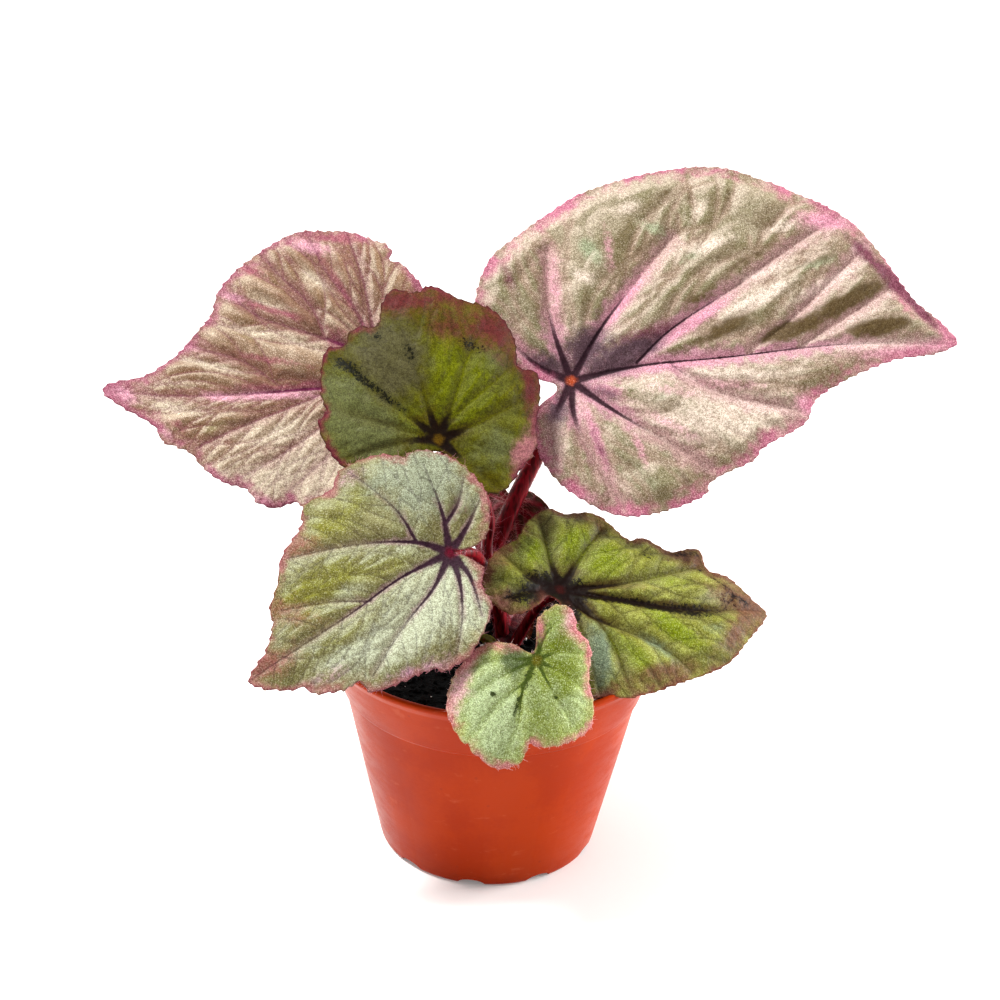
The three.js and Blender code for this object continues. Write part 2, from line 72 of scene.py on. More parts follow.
# ---- leaves ----
# attach, heading, pitch, bank, length, funnel, droops and keel give the blade's surface, as in the frame.
# outline: the margin from the notch round, (along the midrib, to its left).  veins: from the petiole out.
LEAVES = {
    "right_large": dict(
        attach=(19.6, 23, 136.3), heading=5, pitch=6, bank=-56, length=111.7,
        funnel=(4, 22), tip_droop=0.07, side_droop=0.05, keel=0.05,
        outline=[
            (-4.5, -0.8), (-9, 1), (-14.5, 5), (-23, 18.5), (-25, 25), (-20.5, 36), (-16, 40.5), (8, 54),
            (35.5, 59.5), (51, 58.5), (85, 40.5), (92.5, 31), (101.5, 15), (113, 1.5), (108.5, -1),
            (92, -3), (69, -12.5), (65.5, -18.5), (51.5, -25.5), (49.5, -28), (36, -33.5), (34.5, -36.5),
            (11.5, -41), (-4.5, -31.5), (-11, -22), (-12, -12.5), (-9.6, -6.5), (-4.5, -2.6),
        ],
        veins=[
            [(0, 0), (19, 2), (44, 2), (78, 3), (113, 1)],
            [(19, 3), (29, 11), (51, 23), (75, 37), (84, 41)], [(0, 0), (10, 14), (24, 29), (33, 38)],
            [(0, 0), (-4, 18), (-3, 38)], [(0, 0), (-9, 5), (-20, 17)],
            [(0, 0), (11, -10), (25, -21), (37, -30)], [(0, 0), (0, -12), (11, -38)],
            [(0, 0), (-7, -14), (-7, -24)], [(29, 1), (41, -8), (66, -16)], [(50, 2), (67, 13), (90, 32)],
            [(66, 3), (85, 13), (98, 20)],
        ],
        petiole=dict(diameter=5.4, path=[
            (4, 11.8, 62), (-0.7, 10.8, 71), (-2.6, 10.6, 80.4), (-0.9, 12, 87.3), (2.2, 14, 94.8),
            (5.4, 16, 102.7), (8.8, 18, 109.9), (12.3, 20, 117.6), (16.2, 22, 127.5),
        ]),
    ),
    "left_large": dict(
        attach=(-35.9, 36, 134.5), heading=-170, pitch=-4, bank=48, length=79.8,
        funnel=(4, 18), tip_droop=0.06, side_droop=0.06, keel=0.05,
        outline=[
            (-2, -3), (-12, -3.5), (-17, -6), (-19, -11.5), (-15.5, -21.5), (-9, -30.5), (-6.5, -31),
            (-7.5, -34), (-6, -37), (-3, -39), (0.5, -41), (20, -43), (36.5, -34), (44.5, -26),
            (47.5, -18.5), (64, -4), (80, 0), (66, 13.5), (64.5, 17.5), (56.5, 22.5), (54, 26.5),
            (49, 31.5), (42, 34.5), (39.5, 38.5), (34.5, 40.5), (29, 39.5), (27, 41), (20.5, 41.5),
            (12.5, 40), (5.5, 36), (-0.5, 30), (-3.5, 22.5), (-4, 15), (-1, 3),
        ],
        veins=[
            [(0, 0), (9, 6), (24, 7), (50, 6), (64, 4), (80, 0)],
            [(29, 6), (39, -3), (50, -8), (56, -11)], [(0, 0), (10, -6), (24, -12), (34, -17), (43, -27)],
            [(15, -8), (18, -18), (26, -29), (31, -37)], [(0, 0), (6, -18), (12, -28), (17, -43)],
            [(0, 0), (1, -12), (2, -25), (5, -41)], [(0, 0), (-6, -14), (-13, -21)],
            [(11, 6), (24, 11), (44, 17), (55, 21)], [(7, 5), (17, 17), (36, 28), (44, 31)],
            [(0, 0), (11, 21), (31, 37)], [(0, 0), (2, 16), (10, 36)],
        ],
        petiole=dict(diameter=4, path=[
            (3.6, 17, 62), (-4.2, 18.6, 84), (-14, 27, 107), (-26, 34.5, 124),
        ]),
    ),
    "upper_middle": dict(
        attach=(-16.8, -4, 128.2), heading=100, pitch=58, bank=-3, length=42.7,
        funnel=(4.5, 16), tip_droop=0.16, side_droop=0.09, keel=0.03,
        outline=[
            (-3.5, 2), (-8, 6), (-11.5, 11), (-12, 17), (-10, 22.5), (-3, 29.5), (6, 32.5), (8.5, 30.5),
            (14, 31.5), (26.5, 29), (27, 24.5), (30.5, 23), (32, 20.5), (32, 15.5), (38.5, 13.5),
            (42.5, 10.5), (41.5, 4), (43.5, -0.5), (39.5, -8.5), (36.5, -17.5), (28.5, -23.5), (20, -24),
            (19, -29), (17, -30), (13, -30), (2, -28), (-0.6, -28.5), (-5, -26.5), (-9.3, -22.5),
            (-14.2, -18.3), (-15.8, -15), (-15.5, -11.5), (-13, -7.5), (-9, -3.5), (-4.5, -1.5),
        ],
        veins=[
            [(0, 0), (4, 5), (12, 16), (19, 22), (26, 29)], [(0, 0), (10, 3), (22, 6), (39, 12)],
            [(0, 0), (11, -5), (22, -9), (36, -18)], [(0, 0), (3, -9), (8, -20), (13, -29)],
            [(0, 0), (-5, -5), (-14, -15)], [(0, 0), (0, 5), (-2, 14), (-5, 27)],
            [(1, 1), (2, 8), (8, 26), (11, 31)], [(5, -3), (12, -12), (20, -22)],
        ],
        petiole=dict(diameter=3.4, path=[
            (3.6, 6.8, 62), (0.4, 5.5, 77.6), (-2.7, 4.2, 90.5), (-2.4, 3, 101.4), (-7, 1, 114.4),
            (-12.5, -1, 123.7),
        ]),
    ),
    "lower_left": dict(
        attach=(-12.4, -30, 106.6), heading=-157, pitch=-27, bank=48, length=63.3,
        funnel=(3.5, 14), tip_droop=0.09, side_droop=0.08, keel=0.05,
        outline=[
            (-1.4, 0.2), (-3.4, 1.2), (-6.7, 2.3), (-9.6, 2), (-12.2, 0.3), (-15, -3.5), (-17, -9.5),
            (-15, -20), (-13, -23.5), (-8.5, -28), (-5, -29), (-4.5, -28.5), (2, -33.5), (13.5, -35),
            (17.5, -32), (26.5, -32), (29.5, -28), (39, -23), (43, -18), (49, -12.5), (49.5, -10),
            (55.5, -4), (63.5, 0), (61.5, 3.5), (56.5, 7.5), (51.5, 10), (51, 12), (43.5, 16),
            (38.5, 16.5), (38, 20), (20, 24.5), (19, 26), (15, 26.5), (10.5, 26.5), (7.5, 25),
            (0.5, 20.5), (-2, 17.5), (-2, 14.5), (-3, 11), (-5.2, 9), (-3.9, 4.7), (-2.2, 1.9),
            (-0.9, 1.1),
        ],
        veins=[
            [(0, 0), (15, -1), (31, 0), (63, 0)], [(0, 0), (5, -6), (18, -14), (37, -22)],
            [(6, -7), (6, -17), (11, -34)], [(0, 0), (-4, -10), (-7, -24)],
            [(-3, -7), (-9, -10), (-14, -15)], [(0, 0), (-7, -3), (-15, -8)],
            [(25, 0), (33, -5), (46, -11)], [(0, 0), (9, 6), (20, 10), (35, 17)],
            [(0, 0), (2, 8), (7, 17), (14, 25)], [(0, 0), (-1, 8), (2, 19)],
        ],
        petiole=dict(diameter=3.4, path=[
            (3, 2.5, 62), (0.4, -2.4, 78), (-3.2, -8.5, 91), (-7.1, -21, 102.2),
        ]),
    ),
    "lower_right": dict(
        attach=(18.6, -13, 88.7), heading=9, pitch=-9, bank=-30, length=60.8,
        funnel=(3, 12), tip_droop=0.1, side_droop=0.09, keel=0.04,
        outline=[
            (-3.5, -3), (-7, -7), (-14.5, -11.5), (-19.5, -9.5), (-23, -5.5), (-23, -2.5), (-22.5, 1),
            (-19, 8.5), (-12.5, 14), (-10.5, 18.5), (-7.5, 23.5), (-3.5, 27), (-0.5, 28), (2, 26.5),
            (12.5, 26.5), (21, 18.5), (25.5, 20), (33.5, 16.5), (40.5, 19.5), (43, 19), (44.5, 11.5),
            (51, 11), (53, 10), (58.5, 4.5), (62.5, 2), (54, -11), (48, -18), (32, -26.5), (18, -32),
            (13, -31.5), (8.5, -33), (5, -31.5), (2, -28), (0, -21), (-1, -13.5), (-0.5, -5),
        ],
        veins=[
            [(0, 0), (17, -3), (40, -3), (62, 2)], [(0, 0), (6, 10), (13, 21)],
            [(0, 0), (-9, 2), (-18, 9)], [(0, 0), (-8, -2), (-18, -7)],
            [(3, 0), (16, 2), (30, 7), (41, 12)], [(0, 0), (8, -9), (27, -16), (37, -22)],
            [(5, -4), (14, -17), (19, -30)], [(0, 0), (5, -13), (10, -31)], [(0, 0), (-3, 10), (-5, 24)],
        ],
        petiole=dict(diameter=3, path=[(5.8, -0.6, 62), (10, -2.6, 72), (14, -7.4, 81)]),
    ),
    "front_small": dict(
        attach=(11.9, -43, 82.1), heading=-114, pitch=-45, bank=28, length=30.9,
        funnel=(2, 8), tip_droop=0.26, side_droop=0.12, keel=0.05,
        outline=[
            (-1.5, -1.5), (-1.5, -8), (1, -14.5), (10.5, -19), (19.5, -18), (22, -16.5), (26.5, -11.5),
            (27, -9.5), (29, -7), (29, -5.5), (30, -3.5), (30, 1), (26.5, 5.5), (21.5, 6), (21.5, 8),
            (18.5, 14.5), (12.5, 20), (10, 20.5), (4.5, 18.5), (0, 15.5), (-7.5, 13.5), (-9.5, 12),
            (-11.5, 7.5), (-13, 7), (-16, 4), (-16, 2), (-15.5, 0), (-11.5, -3), (-10, -3.5),
        ],
        veins=[
            [(0, 0), (9, -1), (19, 1), (29, 1)], [(0, 0), (5, -5), (19, -16)],
            [(0, 0), (3, -8), (9, -18)], [(0, 0), (6, 6), (14, 17)], [(0, 0), (-7, 0), (-14, 3)],
            [(5, 0), (14, -5), (24, -9)], [(0, 0), (-4, 5), (-6, 12)], [(0, 0), (1, 7), (3, 16)],
        ],
        petiole=dict(diameter=2.2, path=[(9, -24, 60), (9.5, -31, 69), (10.5, -37.6, 76)]),
    ),
    "back_young": dict(
        attach=(4, 27, 97), heading=72, pitch=-58, bank=-16, length=29,
        funnel=(2, 8), tip_droop=0.12, side_droop=0.1, keel=0.05,
        outline=[
            (-1.5, -1), (-5, -4), (-8, -9), (-7, -14), (-2, -18), (5, -18.5), (12, -16), (19, -11),
            (24, -5), (29, 0), (24, 5.5), (18, 11), (11, 15), (4, 16.5), (-2, 15), (-6, 10.5), (-6.5, 5),
            (-4, 2),
        ],
        veins=[
            [(0, 0), (14, 0.5), (29, 0)], [(0, 0), (8, -6), (18, -11)], [(0, 0), (3, -8), (3, -17)],
            [(0, 0), (-3, -6), (-6, -12)], [(0, 0), (8, 6), (17, 11)], [(0, 0), (3, 8), (3, 16)],
            [(0, 0), (-3, 5), (-5, 11)],
        ],
        petiole=dict(diameter=2.4, path=[(4.6, 20.9, 62), (3.6, 22.4, 74), (3.2, 25, 86)]),
    ),
}
# For each leaf: petiole hairs a mm, their length, the margin hairs' length, and the hairs' colour.
HAIRS = {
    "right_large": (12, 3.8, 0.6, "#dc9a96"),
    "left_large": (8, 2.6, 0.8, "#cf8a98"),
    "upper_middle": (8, 2.6, 1.1, "#c06a78"),
    "lower_left": (4, 2.0, 1.3, "#c07c88"),
    "lower_right": (9, 2.2, 1.0, "#c08a80"),
    "front_small": (8, 1.8, 1.1, "#ecc4c0"),
    "back_young": (12, 2.4, 1.5, "#b05048"),
}

# The tints that every blade's material mixes. zones say where this blade has more of each, as soft
# ellipses: (along, left, half length, half width, degrees, strength).
TINTS = ("pale", "green", "grey", "red", "dark", "pink")
# panel and mottle are the ground, stripe is in the side furrows, shade is the painted shade where a cushion
# faces away from the upper left and pale gives its painted highlight where it faces it, glow goes along the
# main veins, attach is the dot over the petiole, and speck_and_glint is the pale grain of hairs, partly
# their painted glints.
# line and star: a main vein's half width, and how much more it has at the petiole, which star_reach wears
# off.  ends: how far from the petiole each vein stays dark.  line_low: how dark it is past that.
# quilt: depth and width of the main furrows, height and width of the panels beside side veins, height of
# the puckers, and spacing and height of the swellings.  spacing and side_angle are the side veins'.
# calm: how much flatter the pale zones are.  furrow, thread, net, painted_shading, painted_highlight:
# strengths, the last two of the painted shade and the painted highlight.
LOOKS = {
    "right_large": dict(
        panel="#9a8e75", mottle="#837b5c", stripe="#b08c80", pale="#e2d0c0", green="#939c7b",
        grey="#56404a", red="#6c3447", dark="#58472a", pink="#d693a8", shade="#6a5638", glow="#c98ea2",
        vein="#26101a", margin="#b76581", rim="#9a3a5c", attach="#b04a28", speck_and_glint="#f0e6d6",
        line=0.26, line_low=0.05, star=1.5, star_reach=10, glow_width=4.4, glow_strength=0.85,
        margin_width=4.6, rim_strength=0.15, furrow=0.45, thread=0.1, net=0, painted_shading=0.5, painted_highlight=0.42,
        granular=0.2, teeth=0.55, spacing=9.5, side_angle=40, quilt=(1.5, 4.6, 1.1, 3.4, 0.08, 10, 1.4),
        ends=(112, 66, 40, 27, 24, 34, 20, 15, 42, 30, 30),
        # Much of pale and dark here is painted highlight and painted shade on the cushions, over the leaf's
        # own tones;
        # grey round the petiole is its purple centre, with painted shade in it.
        zones=dict(
            pale=[
                (56, 18, 12, 2.4, 23, 0.85), (76, 21, 13, 1.7, 24, 0.85), (59, 26, 10, 1.7, 14, 0.6),
                (86, 2.4, 17, 1.8, -4, 0.75), (44, 35, 9, 1.8, 9, 0.65), (21, 48, 5, 2.2, 12, 0.55),
                (6, 29, 4, 2, -42, 0.6), (44, -3, 24, 2, -5, 0.5), (40, -15, 34, 11, -10, 0.55),
                (66, 39, 7, 2, 12, 0.5), (42, 46, 6, 1.8, 50, 0.45), (104, 1.5, 7, 1.6, 0, 0.6),
                (84, 10, 9, 1.6, 22, 0.5),
            ],
            green=[
                (9, 36, 5, 2.5, -55, 0.75), (28, 41, 6, 2.2, -33, 0.65), (74, 27, 7, 1.7, 13, 0.6),
                (16, -30, 8, 2.6, -37, 0.4), (26, -8, 5, 1.4, 16, 0.65), (38, 32, 5, 2, 31, 0.5),
                (49, -18, 5, 2.4, -20, 0.5),
            ],
            grey=[
                (5, 9, 8, 5.9, 30, 0.8), (13, 3, 8, 3.5, 3, 0.75), (-5, -8, 6, 4.3, 75, 0.75),
                (9, -5, 7, 2.4, -27, 0.5), (-7, 5, 6, 3.5, -27, 0.7), (20, 7, 9, 2.8, 12, 0.85),
            ],
            red=[
                (22, 10, 15, 3.4, 14, 0.6), (96, 21, 6, 2.6, -47, 0.75), (-15, 31, 8, 1.8, -73, 0.5),
                (6, -21, 8, 1.3, -71, 0.5), (28, -30, 9, 1.2, -70, 0.3), (104, 10, 6, 1.6, -52, 0.8),
                (90, 27, 7, 2, -48, 0.5), (99, 17, 7, 2.2, -52, 0.8), (88, 31, 6, 2, -45, 0.6),
            ],
            dark=[
                (81, 15, 16, 3.3, 23, 0.85), (90, 7, 11, 2.9, 6, 0.95), (63, 8, 10, 2.8, 15, 0.9),
                (45, 10, 12, 2.9, 23, 0.75), (75, 28, 13, 2, 11, 0.5), (60, 33, 8, 1.8, 33, 0.45),
                (50, 28, 7, 2.5, 35, 0.45), (38, 19, 11, 3.3, 15, 0.5), (32, 51, 5, 1.8, 24, 0.5),
                (27, 37, 4, 2.3, 16, 0.45), (37, -22, 8, 2, -5, 0.45), (52, -9, 7, 1.9, -16, 0.45),
            ],
            pink=[
                (108, 1, 7, 2, 0, 0.45), (-2, 26, 13, 2.4, 88, 0.5), (14, 36, 8, 2, -88, 0.38),
                (18, 22, 12, 2.1, 46, 0.68), (35, 12, 15, 1.8, 28, 0.85), (78, 40, 9, 3, -8, 0.77),
                (29, 1.5, 21, 2.1, 2, 0.59), (29, -7, 11, 2.1, -15, 0.36), (5, -17, 13, 1.6, -77, 0.68),
                (17, -22, 6, 1.5, -73, 0.54), (-2, -33, 8, 2.5, -25, 0.59), (66, -14, 4, 2.8, -58, 0.77),
                (94, -0.5, 15, 2, 1, 0.54), (9, -4, 6, 2, -20, 0.7), (26, -16, 12, 2, -35, 0.4),
                (44, -6, 14, 1.8, -10, 0.4),
            ],
        ),
    ),
    "left_large": dict(
        panel="#a28a74", mottle="#8a7058", stripe="#80594c", pale="#c9bba4", green="#8a7c58",
        grey="#a07f80", red="#95535e", dark="#7d5a48", pink="#d398aa", shade="#8a6a4a", glow="#8e5a66",
        vein="#662044", margin="#985269", rim="#702840", attach="#b04a50", speck_and_glint="#f2e6d8",
        line=0.42, line_low=0.3, star=0.9, star_reach=9, glow_width=3, glow_strength=0.75,
        margin_width=3.6, rim_strength=0.4, furrow=0.75, thread=0.3, net=0, painted_shading=0.45, painted_highlight=0.42,
        granular=0.2, teeth=0.7, spacing=8.5, side_angle=36, calm=0.8,
        quilt=(1.3, 3.4, 2.2, 1.9, 0.06, 9, 0.6), ends=(56, 32, 24, 20, 18, 16, 14, 20, 26, 16, 14),
        # Much of pale and dark here is painted highlight and painted shade on the cushions, over the leaf's
        # own tones.
        zones=dict(
            pale=[
                (38, 32, 17, 6, -15, 0.85), (20, 30, 15, 9, 20, 0.85), (31, 19, 13, 4, 5, 0.65),
                (61, 8, 10, 2.8, -22, 0.65), (50, -3.5, 12, 1.5, -20, 0.65), (36, -12, 10, 1.8, -20, 0.6),
                (31, -21, 8, 1.9, -35, 0.6), (16, -26, 7, 2.2, -49, 0.65), (22, -7, 7, 2.5, -29, 0.5),
                (58, 1, 9, 2, -8, 0.35),
            ],
            green=[
                (48, 16, 6, 1.8, 5, 0.85), (59, 2.3, 8, 1.2, -5, 0.5), (27, -29, 6, 2.1, -75, 0.5),
                (38, -11, 5, 1.5, -30, 0.5),
            ],
            # The long red zone at 28 mm along and 5 mm left is a painted shadow just right of the midrib.
            red=[
                (35, -32, 6, 2.3, -33, 0.7), (8, -40, 8, 2, -7, 0.75), (47, -20, 4, 1.5, -67, 0.6),
                (12, -8, 4, 2, 41, 0.5), (60, 14, 4, 1.4, -35, 0.5), (28, 5, 13, 1.5, -2, 0.9),
                (27, -17, 14, 1.2, -24, 0.7), (10, -26, 14, 1.2, -66, 0.65), (34, -3, 14, 1.2, -18, 0.6),
            ],
            dark=[
                (30, 3.6, 12, 2.5, -2, 0.8), (35, -1, 10, 1.8, -26, 0.6), (19, -13, 6, 2.9, -49, 0.65),
                (44, -7, 8, 1.6, -22, 0.5), (29, -14, 8, 2.1, -29, 0.5), (57, -5, 6, 1.6, -18, 0.5),
                (26, -21, 7, 2.1, -38, 0.5), (12, -20, 7, 2.9, -58, 0.55), (13, -31, 8, 3.4, -55, 0.45),
                (8, -30, 6, 3, -60, 0.4), (20, -33, 5, 2, -50, 0.35), (4, -35, 5, 2, -80, 0.35),
            ],
            pink=[
                (32, 8, 14, 1.5, -5, 0.65), (17, -38, 7, 2.6, -21, 0.7), (41, -24, 5, 1.5, -28, 0.65),
                (76, 1.5, 6, 2.6, -29, 0.9), (55, -10, 4, 1.4, -26, 0.6), (64, 15, 4, 1.6, -49, 0.6),
                (38, 38, 4, 1.6, -18, 0.6), (47, 7, 6, 1.4, -15, 0.5),
            ],
        ),
    ),
    "upper_middle": dict(
        panel="#5c5c03", mottle="#4e4a00", stripe="#36380a", pale="#5c6038", green="#666d00",
        grey="#504c30", red="#5e2226", dark="#0d0e04", pink="#a8686f", shade="#34300a", glow="#5a3a14",
        vein="#100103", margin="#6e2536", rim="#3c0a16", attach="#5a4208", speck_and_glint="#8c8c50",
        line=0.32, line_low=0.05, star=3, star_reach=4.2, glow_width=2.4, glow_strength=0.25,
        margin_width=2.2, rim_strength=0.7, furrow=0.3, thread=0.2, net=0.12, painted_shading=0.4, painted_highlight=0.25,
        granular=1.2, teeth=0.7, spacing=7.5, quilt=(0.6, 3, 0.5, 2, 0.16, 6, 0.7),
        ends=(13, 13, 12, 12, 12, 12, 6, 9),
        zones=dict(
            pale=[
                (3, 21, 13, 10, 60, 0.85), (13, 25, 9, 6, 40, 0.7), (22, -16, 5, 4, 0, 0.6),
                (-2, -17, 6, 5, 0, 0.7), (-6, -11, 6, 5, 0, 0.35),
            ],
            green=[(14, -9, 11, 8, -30, 0.8), (21, -3, 8, 5, 0, 0.6), (5, 9, 7, 4, 50, 0.5)],
            grey=[(18, 13, 9, 8, 0, 0.75), (27, 15, 8, 9, 0, 0.7), (24, 7, 6, 5, 0, 0.6)],
            red=[
                (39.5, 0, 3, 14, 0, 0.55), (30, -18, 9, 7, 40, 0.7), (31, -4, 6, 8, 0, 0.45),
                (16, -27, 14, 3, 0, 0.7), (38, 10, 4, 6, 0, 0.6),
            ],
            dark=[
                (14, 17, 11, 1.3, 50, 0.66), (21, 24, 4, 1.8, 50, 0.68), (24, 7, 3, 2.2, 0, 0.59),
                (26, -10, 4, 2, 60, 0.55), (29, 16, 2.4, 2.2, 0, 0.42), (33, 8, 2, 3.6, 0, 0.3),
            ],
            pink=[(-4, -24, 6, 3.4, -40, 0.8), (4, -28.5, 6, 2, 0, 0.7)],
        ),
    ),
    "lower_left": dict(
        panel="#898659", mottle="#7b7a4c", stripe="#69623c", pale="#b6bca0", green="#83832f",
        grey="#8f967d", red="#864c47", dark="#5a3c34", pink="#c286a6", shade="#6a6038", glow="#a07a88",
        vein="#2a0c22", margin="#98605f", rim="#7c2c42", attach="#5a0c20", speck_and_glint="#d8d8c5",
        line=0.28, line_low=0.4, star=2, star_reach=5, glow_width=1.5, glow_strength=0.5,
        margin_width=2.4, rim_strength=0.6, furrow=0.35, thread=0.35, net=0.14, painted_shading=0.4, painted_highlight=0.35,
        granular=0.5, teeth=0.75, spacing=6.5, calm=0.5, quilt=(1.3, 2.8, 0.9, 2, 0.2, 6, 0.8),
        ends=(48, 27, 26, 24, 20, 17, 40, 30, 24, 22),
        zones=dict(
            pale=[
                (16, 10, 16, 8, 20, 0.9), (4, 14, 7, 9, 0, 0.8), (12, -7, 8, 3, -20, 0.3),
                (28, 11, 14, 4, 10, 0.7), (40, 8, 10, 3, 0, 0.5), (28, -5, 6, 3, -10, 0.5),
            ],
            green=[
                (30, -9, 12, 6, -20, 0.7), (42, -10, 8, 5, -30, 0.7), (24, -23, 8, 5, -20, 0.6),
                (14, -26, 6, 4, 0, 0.5), (36, 5, 8, 3, 0, 0.4), (6, 13, 5, 1.2, 60, 0.6),
                (13, -5, 6, 2.2, -5, 0.5),
            ],
            grey=[(-5, -20, 12, 8, 30, 0.9), (-13, -9, 4, 6, 0, 0.4), (3, -27, 9, 5, 0, 0.6)],
            red=[
                (47, -12, 12, 4, -50, 0.55), (34, -24, 9, 3.5, -30, 0.55), (59, -2, 6, 5, 0, 0.6),
                (52, 1, 6, 3.5, 0, 0.4),
            ],
            dark=[(-8, -9, 6, 5, 40, 0.45)],
            pink=[(12, -32, 6, 3, 0, 0.35), (47, 11, 9, 3, -10, 0.35), (24, 23, 12, 3, -15, 0.5)],
        ),
    ),
    "lower_right": dict(
        panel="#8c9040", mottle="#7c7e2e", stripe="#554e24", pale="#94966a", green="#707e08",
        grey="#687760", red="#6a4534", dark="#0c0502", pink="#b26a6e", shade="#4c4c1c", glow="#3c1d12",
        vein="#120402", margin="#683c32", rim="#7a2c24", attach="#2e0805", speck_and_glint="#bebe93",
        line=0.35, line_low=0.25, star=1.7, star_reach=7, glow_width=2.6, glow_strength=0.7,
        margin_width=3.4, rim_strength=0.5, furrow=0.5, thread=0.35, net=0.25, painted_shading=0.4, painted_highlight=0.2,
        granular=0.9, teeth=0.5, spacing=8, quilt=(2, 3.2, 0.6, 2, 0.16, 7, 0.6),
        ends=(60, 13, 13, 14, 26, 24, 18, 16, 12),
        zones=dict(
            pale=[(45, 2, 6, 3, 10, 0.7)],
            green=[
                (5, 14, 6, 6, 0, 0.85), (-8, 10, 6, 5, 0, 0.8), (13, 9, 7, 6, 30, 0.7),
                (-16, 2, 5, 6, 0, 0.5), (32, -11, 9, 3.4, -30, 0.9), (21, -22, 7, 3, -50, 0.75),
                (14, -17, 5, 3, -60, 0.6), (31, 5, 8, 3, 0, 0.5),
            ],
            grey=[(10, -21, 3.2, 10, 10, 0.85), (27, -17, 8, 2.4, -30, 0.5), (44, -9, 5, 3, 0, 0.4)],
            red=[
                (38, 15, 8, 4, 0, 0.75), (50, 4, 9, 6, 0, 0.6), (51, -9, 8, 4, 50, 0.7),
                (28, -24, 14, 3, 20, 0.6), (-19, 6, 5, 7, 40, 0.5), (10, 24, 12, 3, -20, 0.5),
                (57, 2, 5, 5, 0, 0.8), (22, 1, 8, 2, 0, 0.35),
            ],
            dark=[
                (22, -4, 19, 1.5, -4, 0.95), (1, 0, 7, 5, 0, 0.85), (-6, 1, 7, 3, 0, 0.75),
                (38, -3, 9, 2, 0, 0.65), (24, 12, 7, 2, -10, 0.4), (50, 1, 6, 2.4, 0, 0.35),
                (33, 16, 5, 2, 0, 0.5), (-6, -4, 8, 3.6, 15, 0.8), (2, -8, 5, 3.4, -60, 0.7),
                (-14, -6, 5, 2, 10, 0.5), (45, 9, 9, 1.6, -30, 0.5), (53, 3, 7, 1.5, -10, 0.5),
                (40, 17, 5, 1.6, 0, 0.5),
            ],
            pink=[(-18, -8, 6, 4, 0, 0.5), (52, 7, 5, 3, 0, 0.2)],
        ),
    ),
    "front_small": dict(
        panel="#96a660", mottle="#96a553", stripe="#869451", pale="#a5b686", green="#677518",
        grey="#4f5c38", red="#c98e94", dark="#2a3410", pink="#d49aa8", shade="#66742c", glow="#8c9c40",
        vein="#39480f", margin="#bd6c74", rim="#b86a68", attach="#5e5a10", speck_and_glint="#eef0dc",
        line=0.3, line_low=0.15, star=0.9, star_reach=3, glow_width=1.2, glow_strength=0.6,
        margin_width=2.8, rim_strength=0.3, furrow=0.35, thread=0.15, net=0.12, painted_shading=0.4, painted_highlight=0.3,
        granular=1.1, teeth=0.5, spacing=5.5, quilt=(0.8, 2, 0.4, 1.6, 0.14, 5, 0.4),
        ends=(24, 12, 9, 12, 14, 16, 7, 7),
        zones=dict(
            pale=[
                (14, -9, 9, 7, 0, 0.85), (19, -3, 6, 4, 0, 0.7), (9, 14, 6, 4, 0, 0.5),
                (23, -2, 6, 6, 0, 0.8), (9, 6, 6, 4, 20, 0.35),
            ],
            green=[(3, 8, 9, 5, 20, 0.8), (10, 4, 8, 4, 20, 0.7), (-7, 4, 5, 4, 0, 0.7)],
            grey=[(2, -6, 6, 3.4, 20, 0.95)],
            dark=[
                (-6, -1.5, 6, 1.8, 0, 0.6), (3, -0.5, 5, 1.3, 0, 0.66), (12, -1, 7, 0.7, 0, 0.66),
                (13, -8, 0.6, 1, 0, 0.97), (8, 8, 0.6, 1, 0, 0.97),
            ],
            pink=[(14, -17, 12, 3, 0, 0.6), (-13, 6, 5, 4, 0, 0.6)],
        ),
    ),
    "back_young": dict(
        panel="#8a8a50", mottle="#78783c", stripe="#6d6430", pale="#a5a884", green="#8a962c",
        grey="#7b8270", red="#8c5a4c", dark="#2a160c", pink="#b0707a", shade="#5c5a2c", glow="#6a4030",
        vein="#3a1616", margin="#a0605c", rim="#7a2c2c", attach="#b03a2c", speck_and_glint="#d8d8a8",
        line=0.4, line_low=0.2, star=1.6, star_reach=5, glow_width=1.8, glow_strength=0.6,
        margin_width=2.6, rim_strength=0.5, furrow=0.4, thread=0.25, net=0.1, painted_shading=0.4, painted_highlight=0.3,
        granular=0.5, teeth=0.5, spacing=6, quilt=(0.9, 2.4, 0.4, 1.6, 0.16, 6, 0.4),
        ends=(24, 14, 12, 10, 14, 12, 10),
        zones=dict(
            green=[(10, 6, 8, 5, 20, 0.7), (10, -7, 8, 5, -20, 0.6)],
            dark=[(1, 0, 4, 3, 0, 0.6)],
        ),
    ),
}
PAINTED_LIGHT_DIRECTION = np.array([-0.58, -0.2, 0.79])  # where the painted light comes from: the side of each cushion that faces it gets a painted highlight, the other side painted shade
GRID_STEP = 0.66  # mm between a blade's inner vertices
MARGIN_STEP = 0.42  # mm between vertices along a blade's margin
VEIN_STEP = 0.6  # mm between a blade's vertices along its veins
VERTEX_GAP = 0.42  # mm that a blade's inner vertices keep from those on the margin and the veins
LINE_STEP = 0.8  # mm between points along a vein, a petiole or a fibre


